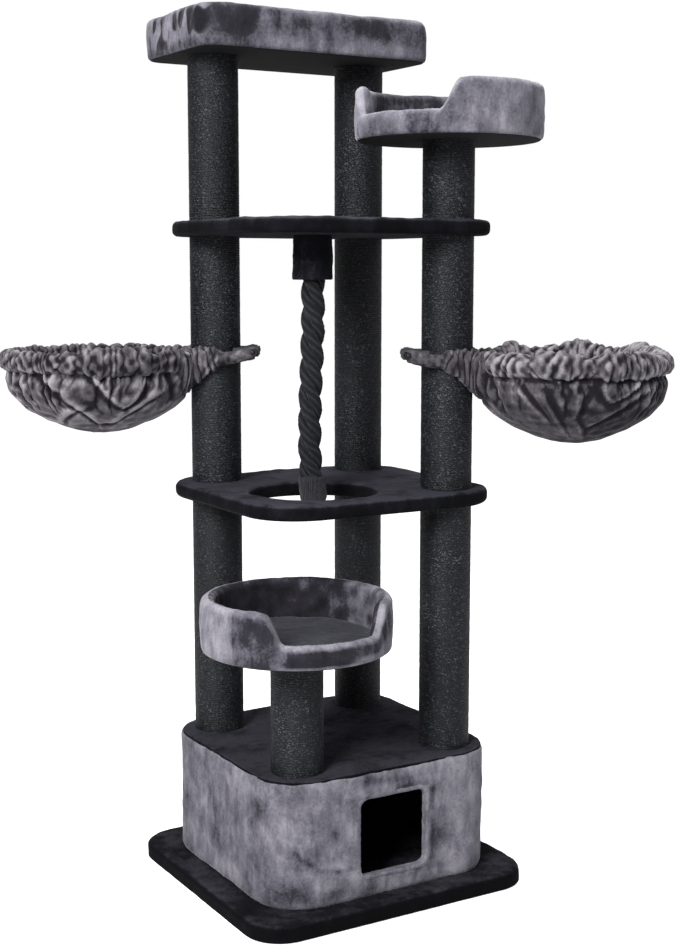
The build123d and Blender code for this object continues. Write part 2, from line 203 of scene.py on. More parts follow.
def edge_rows(edge, low, high, foot=None):
    """Section of a slab's soft rim from its top to its underside, as inset and height: a
    quarter circle of radius edge, an upright side and a quarter circle of radius foot, which is
    the same as edge if none is given."""
    side_rows, arc_rows = 5, 7
    foot = edge if foot is None else foot
    a = np.linspace(0, math.pi / 2, arc_rows)
    side = np.linspace(high - edge, low + foot, side_rows + 2)[1:-1]
    inset = np.concatenate([edge * (1 - np.sin(a)), np.zeros(side_rows), foot * (1 - np.cos(a))])
    z = np.concatenate([high - edge * (1 - np.cos(a)), side, low + foot * (1 - np.sin(a))])
    return inset, z


def near_line(s, z, a, b, wide):
    """1 on the straight line from a to b, falling off as a bell that is wide across."""
    ds, dz = b[0] - a[0], b[1] - a[1]
    share = np.clip(((s - a[0]) * ds + (z - a[1]) * dz) / (ds * ds + dz * dz), 0, 1)
    return np.exp(-((s - a[0] - share * ds) ** 2 + (z - a[1] - share * dz) ** 2) / wide ** 2)


def spot(s, z, at, wide, tall):
    """A soft oval, 1 in its middle."""
    return np.exp(-((s - at[0]) / wide) ** 2 - ((z - at[1]) / tall) ** 2)


def between(value, low, high, soft):
    """1 from low to high, with soft shoulders."""
    return step(value, low - soft, low + soft) * (1 - step(value, high - soft, high + soft))


def slab_cover(name, size, radius, low, high, edge, middle=(0.0, 0.0), rough=0.0009, seed=1,
               hole=None, count=360, top_rows=26, foot_edge=None, shade=0.0):
    """Plush drawn over a board: rows go from the middle of the top out to the rim, round it and
    back underneath. A hole is its middle, its radius and its rim's edge, and with one the rows
    start and end at its own rounded rim instead. The pile is uneven by a few waves of about a
    hand's width and a few of a finger's. Its top is painted lighter and its sides darker, as
    painted light from above, and shade makes it darker all over."""
    crowd = 0.8
    flat, out, _ = outline(size, radius, count, middle)
    inset, z = edge_rows(edge, low, high, foot_edge)
    rim = lifted(flat[None] - out[None] * inset[:, None, None], z[:, None])
    top_edge, under_edge = rim[0], rim[-1]
    share = np.linspace(0, 1, top_rows)[1:-1, None, None]
    if hole is None:
        centre = np.array([*middle, high])
        top = centre + (top_edge - centre) * share ** crowd
        foot = np.array([*middle, low])
        bottom = foot + (under_edge - foot) * share[::-1] ** crowd
        grid = np.concatenate([top, rim, bottom])
    else:
        at, clear, soft = np.array(hole[:2]), hole[2], hole[3]
        ray = flat - at
        ray /= np.linalg.norm(ray, axis=1, keepdims=True)
        inset, z = edge_rows(soft, low, high)
        lip = lifted(at + ray[None] * (clear + inset)[:, None, None], z[:, None])
        top = lip[0] + (top_edge - lip[0]) * share
        bottom = lip[-1] + (under_edge - lip[-1]) * share[::-1]
        grid = np.concatenate([top, rim, bottom, lip[::-1]])
    uneven = waves(grid, 0.13, seed) + 0.5 * waves(grid, 0.04, seed + 1)
    middle_z = (low + high) / 2
    grid[..., 2] += rough * uneven * (grid[..., 2] > middle_z)
    away = grid[..., :2] - np.array(middle)
    away /= np.maximum(np.linalg.norm(away, axis=-1, keepdims=True), 1e-6)
    sides = step(np.abs(away).max(-1), 0, 0.1)
    sides = sides * np.exp(-((grid[..., 2] - middle_z) / (high - low)) ** 2)
    grid[..., :2] += away * (0.8 * rough * uneven * sides)[..., None]
    # Painted light: the top is painted lighter and the sides darker, as light from above falls on them.
    lit_top = step(grid[..., 2], high - 0.7 * edge, high - 0.1 * edge)
    pile_and_painted_light = 0.9 + shade - 1.9 * lit_top + 0.35 * uneven
    return grid_mesh(name, grid, ring_rows=hole is not None, pile_and_painted_light=pile_and_painted_light)


def square_to(path, up):
    """Two directions at each point of a path, square to it and to each other: the first is
    square to up as well."""
    along = np.gradient(path, axis=0)
    along /= np.linalg.norm(along, axis=1, keepdims=True)
    side = np.cross(along, np.array(up, float))
    side /= np.linalg.norm(side, axis=1, keepdims=True)
    return side, np.cross(side, along)


def carried(path, radii, up):
    """Round section carried along a path: every row is a ring of radii round a path point, in
    the plane square to the path, and starts square to up."""
    side, over = square_to(path, up)
    turns = np.linspace(0, TAU, radii.shape[1], endpoint=False)
    ring = side[:, None] * np.cos(turns)[None, :, None]
    ring = ring + over[:, None] * np.sin(turns)[None, :, None]
    return path[:, None] + ring * radii[..., None]


# ---- materials ----------------------------------------------------------------------------------
def add(tree, kind, sockets=None, **settings):
    """A shader node, with its sockets set to values or joined to other nodes' outputs."""
    made = tree.nodes.new(kind)
    for key, value in settings.items():
        setattr(made, key, value)
    for key, value in (sockets or {}).items():
        if isinstance(value, bpy.types.NodeSocket):
            tree.links.new(value, made.inputs[key])
        else:
            made.inputs[key].default_value = value
    return made


def ramp(tree, share, stops):
    """Colours between stops, which are a place from 0 to 1 and a colour each."""
    made = add(tree, "ShaderNodeValToRGB", {"Fac": share})
    spots = made.color_ramp.elements
    for k, (place, colour) in enumerate(stops):
        spot = spots[k] if k < len(spots) else spots.new(place)
        spot.position = place
        spot.color = (*colour, 1.0) if len(colour) == 3 else colour
    return made.outputs["Color"]


def number(tree, share, low, high, start=0.0, end=1.0):
    """A number that goes from start to end as share goes from low to high."""
    made = add(tree, "ShaderNodeMapRange", {"Value": share, "From Min": low, "From Max": high,
                                            "To Min": start, "To Max": end})
    return made.outputs["Result"]


def sums(tree, kind, one, two):
    """One number made of two, such as their sum or product."""
    return add(tree, "ShaderNodeMath", {0: one, 1: two}, operation=kind).outputs["Value"]


def grain(tree, where, size, detail=3.0, rough=0.5, bend=0.0, stretch=None):
    """Noise whose lumps are about size across, drawn out along an axis where stretch says so."""
    if stretch is not None:
        where = add(tree, "ShaderNodeMapping", {"Vector": where, "Scale": stretch}).outputs["Vector"]
    made = add(tree, "ShaderNodeTexNoise", {"Vector": where, "Scale": 0.6 / size, "Detail": detail,
                                            "Roughness": rough, "Distortion": bend})
    return made.outputs["Fac"]


def start_material(name, lay=False):
    """A new material's tree, the coordinates its pattern reads, and its one shader."""
    made = bpy.data.materials.new(name)
    made.use_nodes = True
    tree = made.node_tree
    tree.nodes.clear()
    skin = add(tree, "ShaderNodeBsdfPrincipled")
    end = add(tree, "ShaderNodeOutputMaterial")
    tree.links.new(skin.outputs["BSDF"], end.inputs["Surface"])
    where = add(tree, "ShaderNodeTexCoord").outputs["UV" if lay else "Object"]
    return made, tree, where, skin


def bumped(tree, skin, layers):
    """Bumps laid over one another, each a height, its depth in metres and its strength."""
    normal = None
    for height, depth, strength in layers:
        sockets = {"Height": height, "Distance": depth, "Strength": strength}
        if normal is not None:
            sockets["Normal"] = normal
        normal = add(tree, "ShaderNodeBump", sockets).outputs["Normal"]
    tree.links.new(normal, skin.inputs["Normal"])


def plush(name, shadow, body, tips, sheen, sheen_tint, patch, contrast):
    """Short plush. The tone of each spot is how its pile leans: brushed patches about a hand
    wide, strokes that run down, mottling between tufts and a fine nap, and the piece's own
    brushing together with the painted shade and painted highlights each piece carries per
    point, with the soft bloom that pile shows at a slant. patch is how strong the brushed
    patches are, and contrast how strong the rest is."""
    patches, pile_and_light_share, spread, lowest = 1.15 * patch, 0.36, 0.62, 0.19
    made, tree, where, skin = start_material(name)
    brushed_and_shaded = grain(tree, where, 0.075, 5.0, 0.62, 0.7)
    strokes = grain(tree, where, 0.016, 4.0, 0.62, 0.4, (1.0, 1.0, 0.42))
    tufts = grain(tree, where, 0.0042, 3.0, 0.65)
    nap = grain(tree, where, 0.0013, 2.0, 0.6)
    own_pile_and_light = add(tree, "ShaderNodeAttribute", attribute_name="pile_and_painted_light").outputs["Fac"]
    tone = sums(tree, "MULTIPLY", brushed_and_shaded, patches)
    for share, weight in ((strokes, 0.95), (tufts, 0.55), (nap, 0.30)):
        tone = sums(tree, "ADD", tone, sums(tree, "MULTIPLY", share, weight * contrast))
    middle = 0.5 * (patches + 1.80 * contrast) - 0.5
    tone = sums(tree, "SUBTRACT", tone, middle)
    # Each point's own pile brushing, painted shade and painted highlight darken or lighten the tone.
    tone = sums(tree, "SUBTRACT", tone, sums(tree, "MULTIPLY", own_pile_and_light, pile_and_light_share))
    tone = sums(tree, "ADD", sums(tree, "MULTIPLY", tone, spread), lowest)
    deepest = tuple(0.4 * level for level in shadow)
    colour = ramp(tree, tone, [(0.0, deepest), (0.26, shadow), (0.50, body), (0.76, tips)])
    tree.links.new(colour, skin.inputs["Base Color"])
    skin.inputs["Roughness"].default_value = 0.95
    skin.inputs["Specular IOR Level"].default_value = 0.08
    skin.inputs["Sheen Weight"].default_value = sheen
    skin.inputs["Sheen Roughness"].default_value = 0.30
    skin.inputs["Sheen Tint"].default_value = (*sheen_tint, 1.0)
    bumped(tree, skin, [(strokes, 0.004, 0.35), (tufts, 0.0022, 0.5), (nap, 0.0008, 0.5)])
    return made


def woven_sisal(name):
    """Dyed sisal cord wound round a post: streaky fibres along the winding, and pale specks,
    partly paler broken fibre ends and partly painted glints, more of them where the post is worn."""
    made, tree, where, skin = start_material(name)
    fibres = grain(tree, where, 0.0016, 4.0, 0.7, 0.0, (0.35, 0.35, 2.4))
    worn = grain(tree, where, 0.05, 3.0, 0.6, 0.4)
    ends = grain(tree, where, 0.0029, 2.0, 0.75, 0.0, (0.8, 0.8, 1.2))
    # Pale specks: partly the cord's paler broken ends, partly painted glints of the fibres.
    pale_ends_and_glints = number(tree, ends, 0.50, 0.66)
    pale_ends_and_glints = sums(tree, "MULTIPLY", pale_ends_and_glints, number(tree, worn, 0.3, 0.7, 0.6, 0.9))
    mixed = sums(tree, "ADD", sums(tree, "MULTIPLY", fibres, 0.46), sums(tree, "MULTIPLY", pale_ends_and_glints, 0.58))
    colour = ramp(tree, mixed, [(0.26, (0.0010, 0.0015, 0.0024)), (0.48, (0.0042, 0.0054, 0.0080)),
                                (0.82, (0.088, 0.090, 0.108))])
    tree.links.new(colour, skin.inputs["Base Color"])
    tree.links.new(number(tree, fibres, 0.3, 0.7, 0.36, 0.58), skin.inputs["Roughness"])
    skin.inputs["Specular IOR Level"].default_value = 0.26
    bumped(tree, skin, [(fibres, 0.0022, 0.8), (ends, 0.0032, 1.0)])
    return made


def rope_fibre(name):
    """Laid rope: yarns that twist round each strand, with hairy fibres along them."""
    made, tree, where, skin = start_material(name, lay=True)
    turned = add(tree, "ShaderNodeMapping", {"Vector": where, "Rotation": (0.0, 0.0, 0.62)})
    yarns = add(tree, "ShaderNodeTexWave", {"Vector": turned.outputs["Vector"], "Scale": 24.0,
                                            "Distortion": 1.6, "Detail": 3.0, "Detail Scale": 2.0},
                wave_type="BANDS", bands_direction="X", wave_profile="SIN").outputs["Fac"]
    hairs = grain(tree, turned.outputs["Vector"], 0.0035, 4.0, 0.7, 0.2, (4.0, 0.5, 1.0))
    worn = grain(tree, where, 0.06, 3.0, 0.6, 0.5)
    mixed = sums(tree, "ADD", sums(tree, "MULTIPLY", yarns, 0.3), sums(tree, "MULTIPLY", hairs, 0.6))
    mixed = sums(tree, "ADD", mixed, sums(tree, "MULTIPLY", worn, 0.15))
    colour = ramp(tree, mixed, [(0.25, (0.0014, 0.0017, 0.0025)), (0.55, (0.0056, 0.0060, 0.0078)),
                                (0.9, (0.030, 0.030, 0.036))])
    tree.links.new(colour, skin.inputs["Base Color"])
    skin.inputs["Roughness"].default_value = 0.8
    skin.inputs["Specular IOR Level"].default_value = 0.12
    skin.inputs["Sheen Weight"].default_value = 0.05
    skin.inputs["Sheen Roughness"].default_value = 0.5
    bumped(tree, skin, [(yarns, 0.0016, 0.5), (hairs, 0.001, 0.5)])
    return made


def woven_cloth(name, dark, light, thread, sheen):
    """Plain woven cloth: crossing threads of that width in two directions, and a little wear."""
    made, tree, where, skin = start_material(name)
    weave = {"Vector": where, "Scale": 0.16 / thread, "Distortion": 0.6}
    warp, weft = (add(tree, "ShaderNodeTexWave", weave, wave_type="BANDS",
                      bands_direction=way).outputs["Fac"] for way in "XY")
    threads = sums(tree, "MULTIPLY", warp, weft)
    worn = grain(tree, where, 0.03, 4.0, 0.6)
    mixed = sums(tree, "ADD", sums(tree, "MULTIPLY", threads, 0.5), sums(tree, "MULTIPLY", worn, 0.6))
    tree.links.new(ramp(tree, mixed, [(0.2, dark), (0.85, light)]), skin.inputs["Base Color"])
    skin.inputs["Roughness"].default_value = 0.9
    skin.inputs["Specular IOR Level"].default_value = 0.2
    skin.inputs["Sheen Weight"].default_value = sheen
    bumped(tree, skin, [(threads, 0.0005, 0.5), (worn, 0.002, 0.2)])
    return made


def chipboard(name, dark, light, chip=0.004):
    """Pressed board: short chips of several browns, and a slightly open surface."""
    made, tree, where, skin = start_material(name)
    chips = add(tree, "ShaderNodeTexVoronoi", {"Vector": where, "Scale": 0.6 / chip, "Randomness": 1.0},
                feature="F1")
    fleck = grain(tree, where, chip, 4.0, 0.7, 0.3, (1.0, 1.0, 2.5))
    tone = add(tree, "ShaderNodeSeparateColor", {"Color": chips.outputs["Color"]}).outputs["Red"]
    mixed = sums(tree, "ADD", sums(tree, "MULTIPLY", tone, 0.5), sums(tree, "MULTIPLY", fleck, 0.5))
    tree.links.new(ramp(tree, mixed, [(0.2, dark), (0.8, light)]), skin.inputs["Base Color"])
    skin.inputs["Roughness"].default_value = 0.85
    bumped(tree, skin, [(fleck, 0.0006, 0.5)])
    return made


def cardboard(name):
    """Spiral tube of grey-brown card: pulp mottling and faint seams of the wound strip."""
    made, tree, where, skin = start_material(name)
    pulp = grain(tree, where, 0.0025, 5.0, 0.7)
    seams = add(tree, "ShaderNodeTexWave", {"Vector": where, "Scale": 5.0, "Distortion": 0.4},
                wave_type="BANDS", bands_direction="DIAGONAL").outputs["Fac"]
    mixed = sums(tree, "ADD", sums(tree, "MULTIPLY", pulp, 0.7),
                 sums(tree, "MULTIPLY", number(tree, seams, 0.9, 1.0), 0.25))
    tree.links.new(ramp(tree, mixed, [(0.2, (0.16, 0.11, 0.075)), (0.8, (0.34, 0.26, 0.18))]),
                   skin.inputs["Base Color"])
    skin.inputs["Roughness"].default_value = 0.88
    bumped(tree, skin, [(pulp, 0.0004, 0.4)])
    return made


def plated_steel(name, dark, light, rough):
    """Plated or coated steel: a fine mottle, and duller handling marks."""
    made, tree, where, skin = start_material(name)
    marks = grain(tree, where, 0.012, 5.0, 0.7, 0.4)
    fine = grain(tree, where, 0.0008, 3.0, 0.6)
    mixed = sums(tree, "ADD", sums(tree, "MULTIPLY", marks, 0.6), sums(tree, "MULTIPLY", fine, 0.4))
    tree.links.new(ramp(tree, mixed, [(0.2, dark), (0.8, light)]), skin.inputs["Base Color"])
    tree.links.new(number(tree, marks, 0.3, 0.7, rough - 0.08, rough + 0.12), skin.inputs["Roughness"])
    skin.inputs["Metallic"].default_value = 1.0
    bumped(tree, skin, [(fine, 0.0002, 0.3)])
    return made


GREY = plush("smoky grey plush", shadow=(0.018, 0.017, 0.022), body=(0.098, 0.094, 0.113),
             tips=(0.215, 0.207, 0.232), sheen=0.30, sheen_tint=(0.80, 0.78, 0.86),
             patch=0.75, contrast=0.8)
HAMMOCK_GREY = plush("smoky grey hammock plush", shadow=(0.011, 0.010, 0.013),
                     body=(0.062, 0.057, 0.064), tips=(0.205, 0.192, 0.208), sheen=0.22,
                     sheen_tint=(0.84, 0.80, 0.86), patch=0.7, contrast=0.8)
PAD_GREY = plush("dark grey cushion plush", shadow=(0.012, 0.012, 0.016),
                 body=(0.026, 0.026, 0.033), tips=(0.055, 0.055, 0.066), sheen=0.12,
                 sheen_tint=(0.7, 0.7, 0.78), patch=0.5, contrast=0.6)
BLACK = plush("black plush", shadow=(0.0012, 0.0013, 0.0020), body=(0.0042, 0.0044, 0.0062),
              tips=(0.026, 0.0245, 0.032), sheen=0.035, sheen_tint=(0.62, 0.60, 0.78),
              patch=0.6, contrast=0.8)
SISAL = woven_sisal("black dyed sisal")
ROPE = rope_fibre("black laid rope")
LINING = woven_cloth("black lining cloth", (0.0012, 0.0014, 0.0020), (0.0050, 0.0056, 0.0070),
                     thread=0.0011, sheen=0.0)
WRAP = woven_cloth("black cloth wrap", (0.004, 0.004, 0.006), (0.022, 0.022, 0.027),
                   thread=0.0016, sheen=0.08)
FELT = woven_cloth("black felt", (0.003, 0.003, 0.0035), (0.014, 0.014, 0.016),
                   thread=0.003, sheen=0.03)
BOARD = chipboard("pale chipboard", (0.18, 0.11, 0.055), (0.48, 0.34, 0.2))
# Black board: the clamp blocks' own colour, and on the house wall a painted shade for the dark inside of
# the house.
DARK_BOARD_AND_HOUSE_SHADE = chipboard("black board and house inner shade", (0.012, 0.014, 0.018), (0.030, 0.034, 0.040), 0.006)
CARD = cardboard("grey brown card tube")
ZINC = plated_steel("zinc plated steel", (0.42, 0.43, 0.45), (0.62, 0.63, 0.64), 0.32)
BLACK_STEEL = plated_steel("black coated steel", (0.012, 0.012, 0.014), (0.03, 0.03, 0.033), 0.42)


def finish_cad():
    """Every CAD part that stays gets its finish."""
    finishes = {
        BOARD: ["base_board", "house_battens", "house_roof_board", "middle_platform_board",
                "upper_platform_board", "top_bed_board", "right_bed_board", "lower_bed_board",
                "post_end_plugs"],
        # The house wall's board is black as painted shade inside the house; the clamp blocks are black.
        DARK_BOARD_AND_HOUSE_SHADE: ["house_wall", "left_hammock_clamp_block", "right_hammock_clamp_block"],
        CARD: ["post_tubes", "rope_sleeve_tube"],
        ZINC: ["joining_studs", "roof_bolts", "bed_bolts", "rope_screw_eye", "rope_link"],
        BLACK_STEEL: ["left_hammock_frame", "right_hammock_frame", "left_hammock_clamp_bolt",
                      "right_hammock_clamp_bolt", "rope_cap"],
    }
    for material, names in finishes.items():
        for name in names:
            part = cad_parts[name]
            part.data.materials.clear()
            part.data.materials.append(material)


# ---- rope ---------------------------------------------------------------------------------------
ROPE_AT = axis_of("rope_sleeve_plush")
# How far the rope's line sways to the left and how high it is there, in millimetres.
SWAYS = [(0, 1476), (-1.5, 1395), (0.5, 1290), (6, 1170), (8, 1050), (4, 985), (-2, 930)]
ROUTE = [(ROPE_AT[0] - 0.86 * a / 1000, ROPE_AT[1] + 0.51 * a / 1000, z / 1000) for a, z in SWAYS]
ROPE_WIDTH, STRAND_OUT, STRAND_R, LAY_LENGTH, BINDING_R = 0.055, 0.0146, 0.0128, 0.175, 0.0300
FORWARD, UPWARD = (0.0, 1.0, 0.0), (0.0, 0.0, 1.0)


def rope_line():
    """The rope's centreline: a smooth NURBS line on the route's points, read as even points."""
    curve = bpy.data.curves.new("rope route", "CURVE")
    curve.dimensions = "3D"
    curve.resolution_u = 24
    spline = curve.splines.new("NURBS")
    spline.points.add(len(ROUTE) - 1)
    for point, place in zip(spline.points, ROUTE):
        point.co = (*place, 1.0)
    spline.order_u = 3
    spline.use_endpoint_u = True
    holder = put("rope route", curve)
    bpy.context.view_layer.update()
    read = bpy.data.meshes.new_from_object(holder)
    line = np.empty(len(read.vertices) * 3)
    read.vertices.foreach_get("co", line)
    line = line.reshape(-1, 3)
    bpy.data.objects.remove(holder)
    bpy.data.curves.remove(curve)
    bpy.data.meshes.remove(read)
    run = np.concatenate([[0.0], np.cumsum(np.linalg.norm(np.diff(line, axis=0), axis=1))])
    even = np.linspace(0, run[-1], 221)
    return np.stack([np.interp(even, run, line[:, k]) for k in range(3)], -1), even


def make_rope():
    """Three strands laid together: each is a tube whose middle winds round the rope's line once
    every LAY_LENGTH, STRAND_OUT away from it, and swells and thins a little. Its lower end is
    bound in soft cloth with gathered edges."""
    line, run = rope_line()
    side, over = square_to(line, FORWARD)
    pieces = []
    around, girth = 32, 0.08
    for k in range(3):
        lay = run / LAY_LENGTH * TAU + k * TAU / 3
        path = line + STRAND_OUT * (side * np.cos(lay)[:, None] + over * np.sin(lay)[:, None])
        ends = np.sqrt(np.clip(np.minimum(run, run[-1] - run) / 0.012, 0.04, 1.0))
        rings = carried(path, np.ones((len(path), around)) * ends[:, None], FORWARD)
        uneven = STRAND_R + 0.0005 * waves(rings, 0.05, 70 + k) + 0.0003 * waves(rings, 0.012, 80 + k)
        grid = path[:, None] + (rings - path[:, None]) * uneven[..., None]
        uv = (np.linspace(0, TAU, around + 1) / TAU * girth, run)
        pieces.append(grid_mesh(f"strand {k}", grid, uv=uv))
    with bpy.context.temp_override(active_object=pieces[0], selected_editable_objects=pieces):
        bpy.ops.object.join()
    rope = pieces[0]
    rope.name = "rope_strands"
    rope.data.name = "rope_strands"
    dress(rope, ROPE, "rope", ["rope"])
    # The binding: a tube that swells over the last stretch and is drawn in at both its ends.
    bound, past, around = 0.058, 0.003, 96
    last = line[run > run[-1] - bound]
    tip = last[-1] + (last[-1] - last[-2]) / np.linalg.norm(last[-1] - last[-2]) * past
    path = np.vstack([last, tip])
    t = np.linspace(0, 1, len(path))[:, None]
    swell = BINDING_R + 0.0012 * np.sin(math.pi * t)
    swell = swell * np.clip(np.minimum(t / 0.08, (1 - t) / 0.05), 0.0, 1.0) ** 0.3
    grid = carried(path, np.repeat(np.maximum(swell, 0.0265), around, axis=1), FORWARD)
    turn = np.linspace(0, TAU, around, endpoint=False)[None]
    folds = 0.0011 * np.abs(np.sin(turn * 7.5 + 1.4 * np.sin(t * 3 + turn))) - 0.0005
    folds = (folds + 0.0006 * waves(grid, 0.02, 91))[..., None]
    grid = path[:, None] + (grid - path[:, None]) * (1 + folds / BINDING_R)
    wrap = grid_mesh("rope_end_binding", grid)
    dress(wrap, WRAP, "rope", ["rope_end_wrap"])


# ---- base, roof and platforms -------------------------------------------------------------------
def cover_board(node, name, radius, edge, material=BLACK, slot="black_plush", wider=0.0,
                lower=0.0, higher=0.0, **more):
    """A slab cover that stands for the CAD cover of a board, and is wider, lower and higher
    than it by that much."""
    low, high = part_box(node)
    size = tuple(side + wider for side in footprint(node))
    made = slab_cover(name, size, radius, low.z - lower, high.z + higher, edge, **more)
    dress(made, material, "tree", [node])


def make_covers():
    """Covers of the base, the house's roof and both platforms, each a rounded slab, and the felt
    under the base. The middle platform's has the rope's hole in it."""
    cover_board("base_plush", "base_cover", 0.090, 0.0125, rough=0.0008, seed=11,
                foot_edge=0.0035, shade=0.8)
    cover_board("base_felt", "base_felt_sheet", 0.076, 0.0009, FELT, "black_felt", rough=0.00005,
                seed=12, count=120, top_rows=8)
    cover_board("house_roof_plush", "house_roof_cover", 0.1115, 0.0045, wider=0.004, lower=0.004,
                higher=0.0008, rough=0.0007, seed=13)
    cover_board("middle_platform_plush", "middle_platform_cover", 0.130, 0.0135, seed=14,
                hole=(*ROPE_AT, 0.146, 0.0125))
    cover_board("upper_platform_plush", "upper_platform_cover", 0.130, 0.0135, seed=16)


# ---- house --------------------------------------------------------------------------------------
HOUSE_R, DOOR_R, HEM = 0.115, 0.020, 0.0055

# Upright creases of the house's cover: its run from the middle of the front, how deep and how
# wide it is, and the heights where it starts and ends.
HOUSE_CREASES = [(-0.232, 0.0030, 0.006, 0.08, 0.30), (-0.262, 0.0016, 0.010, 0.05, 0.2),
                 (0.214, 0.0018, 0.008, 0.10, 0.28), (-0.62, 0.0022, 0.009, 0.06, 0.26)]

# Broken line of a pleat on the house's left, as runs and heights, drawn only as a line of painted shade
# in its fold.
HOUSE_PLEAT_SHADE = [(-0.254, 0.175), (-0.201, 0.131), (-0.150, 0.118), (-0.100, 0.117)]

# Smears in the house's pile: how dark each is, or below 0 how light, its run and height, and
# how wide and tall it is.
HOUSE_SMEARS = [(0.45, -0.262, 0.135, 0.045, 0.060), (0.55, -0.520, 0.165, 0.055, 0.045),
                (0.40, -0.360, 0.235, 0.018, 0.055), (0.35, -0.330, 0.090, 0.060, 0.030),
                (0.35, -0.165, 0.225, 0.030, 0.035), (0.45, -0.155, 0.205, 0.009, 0.010),
                (0.40, -0.170, 0.065, 0.060, 0.013), (-0.30, -0.130, 0.090, 0.050, 0.020),
                (-0.25, -0.300, 0.215, 0.022, 0.070), (-0.20, -0.115, 0.240, 0.030, 0.050)]


def house_pile_and_light(s, z, rest, half, sill, head, roof, foot, top):
    """How the house's pile is brushed, with painted light: dark beside and over the doorway and
    in the smears, a line of painted shade along the pleat, pale at both edges as painted sheen,
    pale on the front and on the right side, and uneven everywhere."""
    over, beside = head + 0.013, half + 0.016
    pile_and_painted_light = 0.95 * near_line(s, z, (beside, sill + 0.01), (beside, head - 0.005), 0.0085)
    pile_and_painted_light += 0.85 * near_line(s, z, (0.012, over), (half + 0.004, over), 0.008)
    pile_and_painted_light += 0.60 * near_line(s, z, (half - 0.02, sill - 0.012), (half + 0.012, sill - 0.002), 0.009)
    pile_and_painted_light += 0.55 * spot(s, z, (0.045, head + 0.034), 0.045, 0.010)
    pile_and_painted_light += 0.60 * spot(s, z, (-0.035, roof - 0.022), 0.050, 0.009)
    # Painted shade: a darker line along the pleat's fold.
    for a, b in zip(HOUSE_PLEAT_SHADE, HOUSE_PLEAT_SHADE[1:]):
        pile_and_painted_light += 0.50 * near_line(s, z, a, b, 0.0045)
    for amount, run, height, wide, tall in HOUSE_SMEARS:
        pile_and_painted_light += amount * spot(s, z, (run, height), wide, tall)
    # Painted highlight: both rolled edges of the cover are painted paler, as sheen.
    pile_and_painted_light -= 0.35 * np.exp(-top / 0.005) + 0.25 * np.exp(-foot / 0.006)
    pile_and_painted_light += 0.22 * waves(rest, 0.075, 26) + 0.12 * waves(rest, 0.03, 27)
    right_side = step(s, half + 0.04, half + 0.08)
    front = between(s, -0.20, half + 0.02, 0.03)
    return pile_and_painted_light * (1 - 0.6 * right_side) - 0.30 * right_side - 0.18 * front


